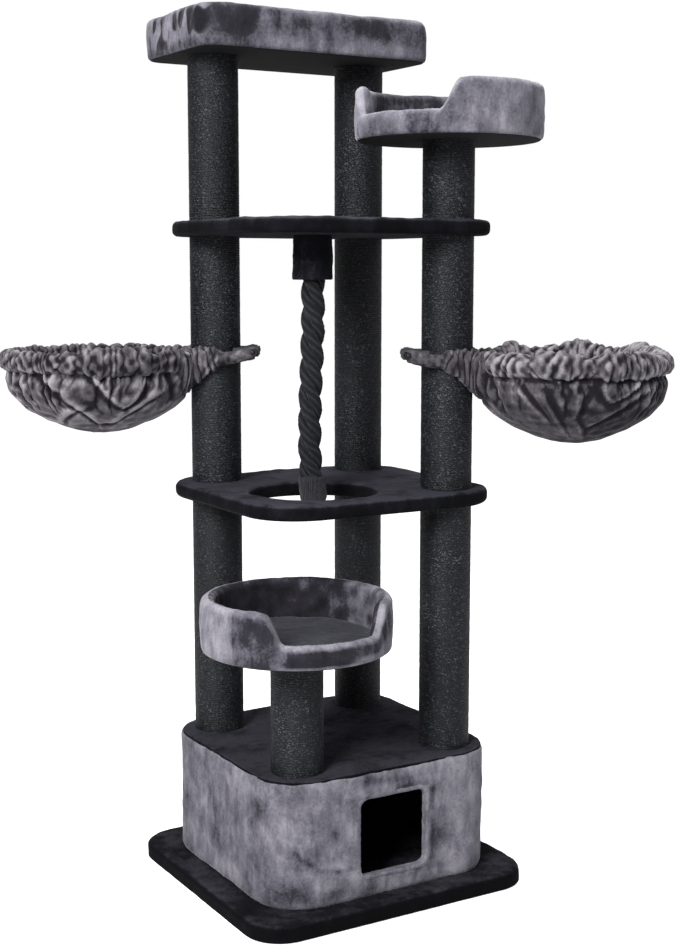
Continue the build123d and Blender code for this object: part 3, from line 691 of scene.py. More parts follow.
def make_house():
    """The house's plush is a wall round a rounded rectangle, with columns by the run round it
    and rows by height. The doorway's cells are left out, its corners are drawn in to arcs, and
    both edges of the wall turn inwards and wander a little. It is given its thickness inwards."""
    low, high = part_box("house_plush")
    size = footprint("house_plush")
    door_low, door_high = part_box("doorway_trim")
    half = (door_high.x - door_low.x) / 2 - HEM
    sill, head = door_low.z + HEM, door_high.z - HEM
    whole = 2 * (size[0] + size[1]) - (8 - TAU) * HOUSE_R
    side = np.linspace(-whole / 2, -half, 171)
    columns = np.concatenate([side, np.linspace(-half, half, 37)[1:-1], -side[::-1][:-1]])
    rows = np.concatenate([np.linspace(low.z + 0.0005, sill, 15),
                           np.linspace(sill, head, 39)[1:-1], np.linspace(head, high.z, 18)])
    s, z = np.meshgrid(columns, rows)
    # The doorway's square corners are drawn in to its round ones.
    near_s, near_z = np.clip(s, -half, half), np.clip(z, sill, head)
    mid_s = np.clip(near_s, -half + DOOR_R, half - DOOR_R)
    mid_z = np.clip(near_z, sill + DOOR_R, head - DOOR_R)
    off_s, off_z = near_s - mid_s, near_z - mid_z
    far = np.hypot(off_s, off_z)
    corner = (np.abs(off_s) > 1e-6) & (np.abs(off_z) > 1e-6)
    pull = np.where(corner, DOOR_R / np.maximum(far, 1e-6) - 1, 0.0)
    from_door = np.hypot(s - near_s, z - near_z)
    fade = np.exp(-from_door / 0.02)
    s_new, z_new = s + off_s * pull * fade, z + off_z * pull * fade
    wall, out_s, _ = outline(size, HOUSE_R, s_new.ravel())
    wall, out_s = wall.reshape(*s.shape, 2), out_s.reshape(*s.shape, 2)
    rest = np.dstack([wall, z_new])
    foot, top = z_new - low.z, high.z - z_new
    # The cover's slack, its edges turned inwards, its creases and the pucker round the doorway.
    give = 0.0012 * waves(rest, 0.16, 21) + 0.0006 * waves(rest, 0.05, 22)
    give -= 0.0045 * np.clip(1 - foot / 0.014, 0, 1) ** 2 + 0.0050 * np.clip(1 - top / 0.013, 0, 1) ** 2
    for at, deep, wide, start, end in HOUSE_CREASES:
        wander = at + 0.006 * np.sin(z_new * 31 + at * 40)
        there = step(z_new, start, start + 0.05) * (1 - step(z_new, end, end + 0.04))
        give -= deep * np.exp(-((s_new - wander) / wide) ** 2) * there
    around = np.abs(s_new) < half + 0.05
    give += around * np.exp(-from_door / 0.018) * 0.0006 * waves(rest, 0.02, 23)
    rest[..., :2] += out_s * give[..., None]
    level = rest * [1, 1, 0]
    wander = waves(level, 0.09, 24) + 0.5 * waves(level, 0.03, 25)
    rest[..., 2] += 0.0012 * wander * np.exp(-foot / 0.02) + 0.0016 * wander * np.exp(-top / 0.02)
    rest[..., 2] = np.maximum(rest[..., 2], low.z + 0.0002)
    pile_and_painted_light = house_pile_and_light(s, z, rest, half, sill, head, high.z, foot, top)
    keep_s, keep_z = (s[:-1, :-1] + s[1:, 1:]) / 2, (z[:-1, :-1] + z[1:, 1:]) / 2
    inside = (np.abs(keep_s) < half) & (keep_z > sill) & (keep_z < head)
    inside = np.hstack([inside, np.zeros((len(inside), 1), bool)])
    skin = grid_mesh("house_wall_cover", rest, ends=False, keep=~inside, pile_and_painted_light=pile_and_painted_light)
    thick = skin.modifiers.new("pile depth", "SOLIDIFY")
    thick.thickness = 0.0035
    thick.offset = -1.0
    dress(skin, GREY, "tree", ["house_plush"])
    make_hem(low.y, half, sill, head)


# Section of the doorway's hem: how far each point is outside the opening, and how far behind
# the wall's face.
HEM_SECTION = [(0.0110, 0.0016), (0.0085, -0.0004), (0.0045, -0.0014), (0.0010, -0.0009),
               (-0.0008, 0.0010), (-0.0014, 0.0045), (-0.0012, 0.0090), (-0.0016, 0.0145),
               (-0.0005, 0.0178), (0.0035, 0.0186), (0.0070, 0.0166), (0.0050, 0.0140),
               (0.0036, 0.0080), (0.0050, 0.0035)]


def make_hem(front, half, sill, head):
    """Rolled hem round the doorway: a soft section carried round a rounded rectangle, from the
    wall's face into the opening and back behind the board. The section is smoothed by taking
    the weighted mean of each point and its neighbours."""
    frame_flat, frame_out, _ = outline((2 * half, head - sill), DOOR_R, 420)
    loop = np.array(HEM_SECTION + HEM_SECTION[:1])
    fine = np.linspace(0, len(HEM_SECTION), 43)[:-1]
    section = np.stack([np.interp(fine, np.arange(len(loop)), loop[:, k]) for k in (0, 1)], -1)
    section = (np.roll(section, 1, 0) + 2 * section + np.roll(section, -1, 0)) / 4
    spread = frame_flat[None] + frame_out[None] * section[:, None, :1]
    hem = np.dstack([spread[..., 0], np.broadcast_to(section[:, None, 1], spread.shape[:2]) + front,
                     spread[..., 1] + (sill + head) / 2])
    lumps = 0.0004 * waves(hem, 0.026, 31) + 0.00025 * waves(hem, 0.009, 32)
    hem[..., 1] -= np.abs(lumps) * (hem[..., 1] < front + 0.004)
    hem[..., 0] += lumps * frame_out[None, :, 0]
    hem[..., 2] += lumps * frame_out[None, :, 1]
    roll = grid_mesh("doorway_hem", hem, ring_rows=True)
    dress(roll, GREY, "tree", ["doorway_trim"])


# ---- posts --------------------------------------------------------------------------------------
def wound_post(node, seed):
    """Sisal cord wound round a tube: its half-round section carried along a helix of that pitch,
    with grooves of that depth between its turns. The turns share their edges, and the first and
    last are cut flat by the boards."""
    low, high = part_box(node)
    centre = axis_of(node)
    radius = (high.x - low.x) / 2
    pitch, depth, around, across = 0.0056, 0.0010, 60, 5
    turns = math.ceil((high.z - low.z) / pitch) + 2
    section = np.linspace(0, 1, across, endpoint=False)
    k = np.arange(turns * around + 1)[:, None]
    angle = k / around * TAU + seed
    z = low.z - pitch + pitch * (k / around + section[None])
    bulge = np.sqrt(np.clip(1 - (2 * section[None] - 1) ** 2, 0, 1))
    base = np.dstack([np.cos(angle) * radius + 0 * z, np.sin(angle) * radius + 0 * z, z])
    rough = 0.00025 * waves(base, 0.02, seed) + 0.0002 * waves(base * [1, 1, 3], 0.007, seed + 1)
    r = np.minimum(radius - depth * (1 - bulge) + rough * bulge - 0.0002, radius - 0.0001)
    z = np.clip(z + 0.0004 * waves(base, 0.05, seed + 2), low.z, high.z)
    grid = np.dstack([centre[0] + np.cos(angle) * r, centre[1] + np.sin(angle) * r, z])
    steps = turns * around
    index = np.arange((steps + 1) * across).reshape(steps + 1, across)
    above = np.hstack([index[:, 1:], np.full((steps + 1, 1), -1)])
    above[:-around, -1] = index[around:, 0]
    cells = np.stack([index[:-1], index[1:], above[1:], above[:-1]], -1).reshape(-1, 4)
    cells = cells[(cells >= 0).all(1)]
    points = np.vstack([grid.reshape(-1, 3), [[*centre, low.z], [*centre, high.z]]])
    foot = np.concatenate([index[:around + 1, 0], index[0, :0:-1]])
    head = np.concatenate([index[steps - around:, -1], index[steps, -2::-1]])
    foot_fan = np.column_stack([np.full(len(foot), len(points) - 2), np.roll(foot, -1), foot])
    head_fan = np.column_stack([np.full(len(head), len(points) - 1), head, np.roll(head, -1)])
    mesh = bpy.data.meshes.new(node + "_winding")
    mesh.from_pydata(points.tolist(), [], cells.tolist() + foot_fan.tolist() + head_fan.tolist())
    mesh.shade_smooth()
    dress(put(node + "_winding", mesh), SISAL, "tree", [node])


def make_posts():
    """A winding for each stretch of each post."""
    names = sorted(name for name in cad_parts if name.endswith("_sisal"))
    for k, name in enumerate(names):
        wound_post(name, 100 + 7 * k)


# ---- beds ---------------------------------------------------------------------------------------
def bed_rim(node, size, radius, pile_and_light_map, seed, entry=None, count=460):
    """Stuffed plush wall of a bed: its section goes up the outside, over a round lip, down the
    inside and back under, and is carried round the bed's outline. Over an entry, which is the
    bearing it faces, the wall sinks to a low stretch. Pleats and seams draw the cover in beside
    the entry. Black cloth covers the board's underside."""
    thick, sill_height, foot_height = 0.030, 0.053, 0.008
    low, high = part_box(node + "_rim_plush")
    middle = axis_of(node + "_rim_plush")
    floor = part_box(node + "_cushion")[0].z
    flat, out, run = outline(size, radius, count, middle)
    bearing = np.degrees(np.arctan2(flat[:, 1] - middle[1], flat[:, 0] - middle[0]))
    tall = np.full(count, high.z - low.z)
    off = np.full(count, 180.0)
    if entry is not None:
        off = (bearing - entry + 180) % 360 - 180
        tall = sill_height + (tall - sill_height) * step(np.abs(off), 31.0, 45.0)
    up = np.linspace(0, 1, 15)[:, None]
    arc = np.linspace(0, math.pi, 19)[1:-1, None]
    crown = tall - thick / 2
    inset = np.vstack([0 * up + 0.0 * crown, thick / 2 * (1 - np.cos(arc)) + 0 * crown,
                       thick + 0 * up + 0 * crown])
    board = floor - low.z
    climb = foot_height + (crown - foot_height) * up
    fall = board + (crown - board) * up[::-1]
    z = np.vstack([climb, crown + thick / 2 * np.sin(arc), fall])
    under = np.array([(0.0245, board), (0.0245, 0.001), (0.0120, 0.0005), (0.0050, 0.0012),
                      (0.0015, 0.0038)])
    inset = np.vstack([inset, np.repeat(under[:, :1], count, 1)])
    z = np.vstack([z, np.repeat(under[:, 1:], count, 1)])
    grid = lifted(flat[None] - out[None] * inset[..., None], low.z + z)
    level = z / tall[None]
    soft = np.exp(-((level - 0.55) / 0.5) ** 2) * (z > 0.006)
    give = 0.0016 * waves(grid, 0.11, seed) + 0.0008 * waves(grid, 0.035, seed + 1)
    outside = inset < thick / 2
    swell = 0.0022 * np.sin(np.pi * np.clip(level, 0, 1)) * outside
    if entry is not None:
        # Pleats fan down from both ends of the entry, fine gathers run along its sill, and a
        # seam stands at each end.
        ripples = np.abs(np.sin(np.radians(off)[None] * 15 + 0.8 * np.sin(level * 3 + off[None] / 9)))
        close = np.exp(-((np.abs(off) - 47) / 13) ** 2)[None]
        give += (0.0030 * ripples - 0.0022) * close * step(level, 0.1, 0.8)
        sill = (1 - step(np.abs(off), 34, 42))[None]
        fine = np.abs(np.sin(run[None] / 0.0125 * math.pi + 1.7 * np.sin(run[None] * 60)))
        give += (0.0018 * fine - 0.0012) * sill * step(level, 0.25, 0.9)
        for seam, deep in ((-33.5, 0.0040), (38.0, 0.0022)):
            wander = seam + 1.5 * np.sin(level * 4)
            give -= deep * np.exp(-((off[None] - wander) / 1.3) ** 2) * step(level, 0.02, 0.2)
            give += 0.5 * deep * np.exp(-((off[None] - wander) / 3.6) ** 2) * step(level, 0.02, 0.2)
    side = np.where(outside, 1.0, -1.0)
    pile_and_painted_light = pile_and_light_map(grid=grid, middle=middle, out=out[None], off=off[None], level=level, outside=outside)
    # Painted highlight: the top of the lip is painted paler, as sheen.
    pile_and_painted_light = pile_and_painted_light - 0.45 * step(level, 0.86, 1.0) + 0.16 * waves(grid, 0.05, seed + 7)
    amount = give * soft + swell
    grid[..., :2] += out[None] * (amount * side)[..., None]
    grid[..., 2] += np.where(level > 0.7, 0.45 * give * step(level, 0.7, 0.95), 0.0)
    rim = grid_mesh(node + "_rim_cover", grid, ring_rows=True, pile_and_painted_light=pile_and_painted_light)
    dress(rim, GREY, "tree", [node + "_rim_plush", node + "_rim_foam"])
    cloth = slab_cover(node + "_underside_cloth", (size[0] - 0.012, size[1] - 0.012), radius - 0.006,
                       low.z - 0.0004, low.z + 0.0028, 0.0012, middle, 0.0003, seed + 5, count=240,
                       top_rows=18)
    dress(cloth, LINING, "tree", ["bed_undersides"])


def plump(piece, reach):
    """Fills a pad by simulation: its skin, remeshed evenly, swells under pressure as cloth does,
    and no point goes further than reach from where it began."""
    ticks = 20
    mesh = piece.data
    shape = put(piece.name + " stuffing", mesh.copy())
    even = shape.modifiers.new("even", "REMESH")
    even.mode = "VOXEL"
    even.voxel_size = 0.0055
    bpy.context.view_layer.update()
    ready = bpy.data.meshes.new_from_object(shape.evaluated_get(bpy.context.evaluated_depsgraph_get()))
    shape.modifiers.clear()
    shape.data = ready
    start = np.empty(len(ready.vertices) * 3)
    ready.vertices.foreach_get("co", start)
    cloth = shape.modifiers.new("fill", "CLOTH")
    cloth.settings.use_pressure = True
    cloth.settings.uniform_pressure_force = 4.0
    cloth.settings.effector_weights.gravity = 0.0
    cloth.settings.quality = 4
    cloth.point_cache.frame_start = 1
    cloth.point_cache.frame_end = ticks
    for tick in range(1, ticks + 1):
        bpy.context.scene.frame_set(tick)
    done = bpy.data.meshes.new_from_object(shape.evaluated_get(bpy.context.evaluated_depsgraph_get()))
    end = np.empty(len(done.vertices) * 3)
    done.vertices.foreach_get("co", end)
    bpy.context.scene.frame_set(1)
    start, end = start.reshape(-1, 3), end.reshape(-1, 3)
    moved = end - start
    far = np.linalg.norm(moved, axis=1, keepdims=True)
    moved *= np.minimum(1.0, reach / np.maximum(far, 1e-9))
    done.vertices.foreach_set("co", (start + moved).ravel())
    done.shade_smooth()
    done.update()
    bpy.data.objects.remove(shape)
    name = mesh.name
    piece.data = done
    bpy.data.meshes.remove(mesh)
    done.name = name


def bed_pad(node, size, radius, seed):
    """Loose cushion on a bed's board: a slab with a round edge, plumped up."""
    low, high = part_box(node + "_cushion")
    middle = axis_of(node + "_cushion")
    pad = slab_cover(node + "_pad", (size[0] - 0.004, size[1] - 0.004), radius - 0.002, low.z,
                     high.z - 0.003, 0.0065, middle, 0.0006, seed, count=260, top_rows=30, shade=1.9)
    plump(pad, 0.0035)
    dress(pad, PAD_GREY, "tree", [node + "_cushion"])


# How each bed's pile is brushed, and where its inner face is painted darker as shade. out is
# the wall's outward direction, off the bearing from the middle of the entry, level the height
# from 0 to 1, and outside is true on the outer face.
def top_bed_pile_and_light(grid, middle, out, level, outside, **_):
    """Top bed: smears down its left side, dark brushed runs along its front and its lip, and its inner
    face painted a little darker as shade.
    """
    x, y = grid[..., 0] - middle[0], grid[..., 1] - middle[1]
    left = step(-out[..., 0], 0.5, 0.9)
    front = step(-out[..., 1], 0.5, 0.9)
    smears = np.clip(2.6 * waves(np.dstack([y, 0.03 * level, 0 * y]), 0.030, 7) - 0.1, -0.5, 1)
    pile_and_painted_light = left * (1.7 * smears * between(level, 0.2, 0.95, 0.12) + 0.80)
    runs = 0.85 * between(x, -0.29, -0.17, 0.03) - 0.30 * (1 - step(level, 0.22, 0.40))
    for amount, at, wide, tall in ((0.55, (-0.06, 0.62), 0.07, 0.16), (0.70, (0.15, 0.72), 0.10, 0.22),
                                   (-0.35, (0.02, 0.75), 0.03, 0.2), (0.35, (0.23, 0.45), 0.05, 0.25)):
        runs = runs + amount * spot(x, level, at, wide, tall)
    pile_and_painted_light += front * 0.35 + front * runs
    streaks = np.clip(2.2 * waves(np.dstack([x, 0.1 * y, 0 * y]), 0.03, 8) - 0.6, 0, 1.6)
    # Painted shade: the inner face is a little darker.
    return np.where(outside, pile_and_painted_light, 0.5) + 0.8 * streaks * (level > 0.75) * step(-x, 0.16, 0.22)


def right_bed_pile_and_light(off, level, outside, **_):
    """Right bed: even on its tall side, dark at the foot of the slope, and painted dark within as shade,
    apart from one stretch.
    """
    pile_and_painted_light = 0.75 * between(off, 14, 47, 7) * (1 - step(level, 0.75, 1.0)) - 0.12 * step(off, 48, 60)
    pile_and_painted_light = pile_and_painted_light + 0.35 * spot(off, level, (-8.0, 0.55), 10.0, 0.3) - 0.3 * between(off, -60, -22, 8)
    pile_and_painted_light = pile_and_painted_light + 0.22 * between(off, -28, 14, 8)
    return np.where(outside, pile_and_painted_light, 0.95 - 0.9 * between(off, -75, -40, 10))


def lower_bed_pile_and_light(grid, off, level, outside, **_):
    """Lower bed: pale on its left, dark before the slope and on the low front, and painted dark within
    as shade, less so on one stretch.
    """
    pile_and_painted_light = 1.15 * between(off, -66, -35, 5) * (1 - 0.4 * step(level, 0.8, 1.0))
    pile_and_painted_light = pile_and_painted_light - 0.45 * (off < -64) * (off > -150)
    front = 1 - step(level, 0.70, 0.92)
    pile_and_painted_light = pile_and_painted_light + 1.7 * between(off, -31, 12, 5) * front * step(level, 0.10, 0.22)
    pile_and_painted_light = pile_and_painted_light + 1.1 * between(off, 14, 50, 6) * front * step(level, 0.25, 0.45)
    # Painted shade: the inner face is dark, lighter on one stretch.
    within = 1.7 - 1.4 * between(off, 62, 118, 14) + 0.3 * waves(grid, 0.05, 66)
    return np.where(outside, pile_and_painted_light, within)


def make_beds():
    """The oblong top bed, and two round beds whose entries face the given bearings."""
    bed_rim("top_bed", footprint("top_bed_rim_plush"), 0.050, top_bed_pile_and_light, 41, count=560)
    bed_pad("top_bed", footprint("top_bed_cushion"), 0.0195, 44)
    for node, pile_and_light_map, faces, seed in (("right_bed", right_bed_pile_and_light, 198.0, 51),
                                        ("lower_bed", lower_bed_pile_and_light, 265.0, 61)):
        bed_rim(node, (0.425, 0.425), 0.2124, pile_and_light_map, seed, faces)
        bed_pad(node, (0.364, 0.364), 0.1819, seed + 4)


# ---- hammocks -----------------------------------------------------------------------------------
# A hammock is drawn with its post's axis at the origin and its ring towards +X. RING_OUT is how
# far out the ring's middle is, RING_R its radius at the wire, ARM_V how far each arm is to the
# side, BEND_R the radius of the bend from the ring into an arm, and DEPTH the bag's own depth.
RING_R, RING_OUT, ARM_V, BEND_R, DEPTH = 0.222, 0.276, 0.0725, 0.028, 0.187


def placed(points, post, faces):
    """Points drawn with the post's axis at the origin and the ring towards +X, turned to face
    that way and moved to the post."""
    c, s = math.cos(math.radians(faces)), math.sin(math.radians(faces))
    return points @ np.array([[c, s, 0.0], [-s, c, 0.0], [0.0, 0.0, 1.0]]) + np.array([*post, 0.0])


def hollows(grid, across, along):
    """How hollow a surface is: the middle of each point's neighbours at a distance less the
    point, along the normal; above 0 in a valley and below 0 on a ridge."""
    rows = np.arange(len(grid))
    before = grid[np.clip(rows - along, 0, None)]
    after = grid[np.clip(rows + along, None, len(grid) - 1)]
    left, right = np.roll(grid, across, 1), np.roll(grid, -across, 1)
    normal = np.cross(right - left, after - before)
    normal /= np.maximum(np.linalg.norm(normal, axis=2, keepdims=True), 1e-9)
    return np.sum(((left + right + before + after) / 4 - grid) * normal, 2)


def pleat(s):
    """Section across a pleat for s from 0 to 1: a sharp valley, a long rise and a short drop."""
    s = s % 1.0
    return np.sin(math.pi / 2 * np.minimum(s / 0.66, (1 - s) / 0.34))


def hammock_bag(name, side, level, post, faces, body, look, seed):
    """Gathered bag: columns by the angle round the ring and rows from the middle of its
    underside up the outside, over the gathered roll round the ring and down the inside. Its
    radius is the bowl's, cut flat next to the post. Ruffles crowd the roll, pleats run down
    from it and fade towards the bottom, and creases and slack laps lie across them. Every
    hollow is painted darker as shade and every ridge paler as a highlight, and the inside is
    painted darker as shade within the bag. Bearings are degrees from the outer end
    towards the front, so side is 1 or -1 for which way round that is, and heights in the look go
    from 0 at the bottom to 1 at the ring."""
    count, up_rows, roll_rows, down_rows = 780, 54, 28, 20
    wall, flat_at, close = 0.0085, 0.203, 0.0055
    phi = np.linspace(0, TAU, count, endpoint=False)
    from_post = np.degrees(np.abs(phi - math.pi))
    thick = step(from_post, 17.0, 30.0)
    roll_r, roll_v = close + (look["roll"] - close) * thick, close + 0.0180 * thick
    limit = np.where(np.cos(phi) < 0, flat_at / np.maximum(-np.cos(phi), 1e-3), 9.0)
    ring = np.minimum(RING_R, limit - roll_r)
    bowl_r = np.array([0.0, 0.040, 0.080, 0.140, 0.182, 0.211, 0.2235, 0.2235])
    bowl_h = np.array([0.0, 0.004, 0.014, 0.040, 0.066, 0.098, 0.130, 0.157])
    bowl_h = DEPTH - (DEPTH - bowl_h) * look["deep"]
    run = np.concatenate([[0], np.cumsum(np.hypot(np.diff(bowl_r), np.diff(bowl_h)))])
    even = np.linspace(0.02, 1, up_rows) * run[-1]
    out_r, out_h = np.interp(even, run, bowl_r), np.interp(even, run, bowl_h)
    kernel = np.array([1, 2, 3, 2, 1]) / 9
    out_r[2:-2] = np.convolve(out_r, kernel, "valid")
    out_h[2:-2] = np.convolve(out_h, kernel, "valid")
    arc = np.radians(np.linspace(-62, 225, roll_rows))[:, None]
    back = np.linspace(up_rows - 1, 0, down_rows)
    in_r = np.maximum(np.interp(back, np.arange(up_rows), out_r) - wall, 0.002)
    in_h = np.interp(back, np.arange(up_rows), out_h) + 0.0065
    rho = np.vstack([np.minimum(out_r[:, None], limit - 0.001), ring + roll_r * np.cos(arc),
                     np.minimum(in_r[:, None], limit - 0.010)])
    h = np.vstack([out_h[:, None] + 0 * phi, 0.1825 + roll_v * np.sin(arc), in_h[:, None] + 0 * phi])
    part = np.repeat([0, 1, 2], [up_rows, roll_rows, down_rows])[:, None]
    outside, roll = part == 0, part == 1
    at_arc = arc_of(arc, part)
    turn = phi[None] + 0 * rho
    rest = np.dstack([RING_OUT + rho * np.cos(turn), rho * np.sin(turn), h])
    free = step(from_post, 15.0, 32.0)[None]
    height = np.clip(h / DEPTH, 0, 1.1)
    bearing = (np.degrees(turn) * side + 180) % 360 - 180
    rim = np.stack([np.cos(phi), np.sin(phi), 0 * phi], -1) * RING_R
    # Ruffles: how far apart they are changes round the roll.
    apart = np.interp(bearing[0], *look["ruffles"]) * (1 + 0.45 * waves(rim[None], 0.09, seed)[0])
    phase = np.cumsum(RING_R * TAU / count / apart)
    phase = phase * round(phase[-1]) / phase[-1] + 0.10 * waves(rest, 0.03, seed + 1)
    tall = np.minimum(0.0030 + 0.11 * apart, 0.0068)
    on_roll = np.where(roll, 1.0, step(height, 0.78, 0.95))
    give = free * on_roll * tall * (np.abs(np.sin(math.pi * phase)) ** 0.75 - 0.78)
    give += free * on_roll * 0.0022 * waves(rest, 0.024, seed + 3)
    for at, wide, rise in look["lumps"]:
        bump = np.exp(-((bearing - at) / wide) ** 4)
        bump = bump * (0.75 + 0.25 * np.cos((bearing - at) / wide * 4.4))
        give += np.where(roll, rise * bump * np.clip(0.35 + 0.65 * np.sin(at_arc), 0, 1), 0.0)
    # The neck under the roll, and pleats below it that die out towards the bottom.
    give -= np.where(outside, 0.0050 * np.exp(-((h - 0.155) / 0.010) ** 2), 0.0) * free
    drift = 0.22 * waves(rest * [1, 1, 0.4], 0.11, seed + 2)
    pleats = pleat(phase * look["pleats"] + drift)
    size = 0.35 + 0.65 * step(waves(rim[None], 0.12, seed + 5), -0.3, 0.7)
    down = step(height, 0.24, 0.62)
    give += np.where(outside, free * size * down * 0.0135 * (pleats - 0.72), 0.0)
    small = pleat(phase * look["pleats"] * 2 + 0.4 + 1.6 * drift)
    give += np.where(outside, free * step(height, 0.55, 0.85) * 0.0045 * (small - 0.7), 0.0)
    # Creases, each a line from one bearing and height to another with one side overhanging; each is
    # painted dark as shade in its valley and paler as a highlight beside it.
    brushed_and_shaded = 0 * give
    for (a0, h0), (a1, h1), deep, wide in look["creases"]:
        run_a, run_h = (a1 - a0) / 90, h1 - h0
        long = math.hypot(run_a, run_h)
        da, dh = (bearing - a0) / 90, height - h0
        share = np.clip((da * run_a + dh * run_h) / long ** 2, 0, 1)
        off = np.hypot(da - share * run_a, dh - share * run_h) * np.sign(da * run_h - dh * run_a)
        fade = np.sin(math.pi * np.clip(0.06 + 0.88 * share, 0, 1)) ** 0.6 * outside
        give += fade * deep * (0.9 * np.exp(-((off + 1.7 * wide) / (1.5 * wide)) ** 2)
                               - np.exp(-((off - 0.1 * wide) / wide) ** 2))
        brushed_and_shaded += fade * (1.3 * np.exp(-((off - 0.35 * wide) / (0.8 * wide)) ** 2)
                           - 0.8 * np.exp(-((off + 1.1 * wide) / (0.7 * wide)) ** 2))
    # Slack laps that hang from the roll, painted paler along the edge as a highlight and with a painted
    # shadow beneath it.
    for at, wide, tip, shift, rise in look["laps"]:
        reach = np.clip((height - tip) / (0.92 - tip), 0, 1)
        gap = wide * reach ** 0.5 - np.abs(bearing - at - shift * (1 - reach))
        within = step(gap, -0.8, 2.2) * (height > tip) * (part < 2)
        give += rise * within * (0.8 + 0.2 * np.sin((bearing - at) / wide * 3 + 5 * height))
        edge = np.exp(-((gap - 2.4) / 2.0) ** 2) * (height > tip - 0.03) * outside
        shade = np.exp(-((gap + 2.4) / 2.2) ** 2) * outside * step(height, tip - 0.10, tip)
        brushed_and_shaded += 0.45 * within - 1.1 * edge * step(-reach, -0.95, -0.6) + 1.5 * shade
    for at, high, wide, tall_way, amount in look["smears"]:
        brushed_and_shaded += outside * amount * spot(bearing, height, (at, high), wide, tall_way)
    give += 0.0012 * waves(rest, 0.05, seed + 4) * ~roll
    # Each point gives way outwards and upwards by shares that follow the surface's own slope.
    tilt = np.where(outside, step(height, 0.05, 0.55), 1.0)
    outward = np.where(roll, np.cos(at_arc), np.where(part == 2, 0.35, tilt))
    upward = np.where(roll, np.sin(at_arc), np.where(outside, tilt - 1, 0.0))
    rho_new = rho + np.clip(give * outward, -0.03, 0.03) * np.clip(rho / 0.05, 0, 1)
    rho_new = np.clip(rho_new, 0.0005, limit - 0.0002)
    h_new = h + upward * give * np.clip(rho / 0.05, 0.2, 1)
    sway = look["swing"] * (1 - np.clip(height, 0, 1) ** 2) * step(rho, 0.0, 0.02)
    u = RING_OUT + rho_new * np.cos(turn) + sway
    u = np.where(rho < 0.02, RING_OUT + look["swing"] + rho_new * np.cos(turn), u)
    grid = np.dstack([u, rho_new * np.sin(turn), level - DEPTH + h_new])
    calm = rest + [0, 0, level - DEPTH]
    # Painted shade and highlight: hollows against the unruffled bag are painted darker and ridges paler.
    fine, broad = (hollows(grid, n, m) - hollows(calm, n, m) for n, m in ((3, 2), (8, 4)))
    pile_and_painted_light = 0.85 * np.tanh(fine / 0.0013) + 0.55 * np.tanh(broad / 0.0045)
    pile_and_painted_light = np.where(pile_and_painted_light > 0, 0.95, 0.72) * pile_and_painted_light + 0.75 * brushed_and_shaded
    # Painted shade: the inside of the bag is painted darker, as shade within it.
    shades = np.where(part == 2, 0.9, np.where(roll, look["roll_shade"], look["shade"]))
    pile_and_painted_light += 0.28 * waves(rest, 0.035, seed + 6) + shades
    bag = grid_mesh(name + "_bag_cover", placed(grid, post, faces), pile_and_painted_light=np.clip(pile_and_painted_light, -1.5, 1.7))
    dress(bag, HAMMOCK_GREY, body, [name + "_bag"])
    return bag


def arc_of(arc, part):
    """The roll's section angle for its own rows, and 0 for the rest."""
    angle = np.zeros(len(part))
    angle[part[:, 0] == 1] = arc[:, 0]
    return angle[:, None]


# The arm sleeve's reach from its middle outwards, inwards, up and down, at each distance from
# the post's axis.
ARM_PLACES = [-0.110, -0.020, -0.013, -0.003, 0.020, 0.064, 0.074, 0.086, 0.4]
ARM_OUT = [0.0125, 0.0120, 0.0150, 0.0185, 0.0205, 0.0220, 0.0200, 0.0165, 0.0165]
ARM_IN = [0.0115, 0.0105, 0.0105, 0.0105, 0.0105, 0.0105, 0.0125, 0.0165, 0.0165]
ARM_UP = [0.0150, 0.0150, 0.0190, 0.0245, 0.0260, 0.0245, 0.0210, 0.0165, 0.0165]
ARM_DOWN = [0.0150, 0.0150, 0.0190, 0.0270, 0.0400, 0.0820, 0.0800, 0.0165, 0.0165]


def arm_line():
    """An arm's middle line seen from above, as 280 even points and their runs: along the ring,
    round a bend of radius BEND_R that touches both, and straight past the post."""
    reach = RING_R + BEND_R
    bend_x = RING_OUT - math.sqrt(reach ** 2 - (ARM_V + BEND_R) ** 2)
    start = math.atan2((ARM_V + BEND_R) * RING_R / reach, (bend_x - RING_OUT) * RING_R / reach)
    a = np.linspace(math.radians(146), start, 24)
    ring = np.stack([RING_OUT + RING_R * np.cos(a), RING_R * np.sin(a)], -1)
    b = np.linspace(start - math.pi, -math.pi / 2, 16)[1:]
    bend = np.stack([bend_x + BEND_R * np.cos(b), ARM_V + BEND_R + BEND_R * np.sin(b)], -1)
    x = np.linspace(bend_x, -0.1010, 110)[1:]
    flat = np.vstack([ring, bend, np.stack([x, np.full(len(x), ARM_V)], -1)])
    run = np.concatenate([[0], np.cumsum(np.linalg.norm(np.diff(flat, axis=0), axis=1))])
    even = np.linspace(0, run[-1], 280)
    return np.stack([np.interp(even, run, flat[:, k]) for k in (0, 1)], -1), even


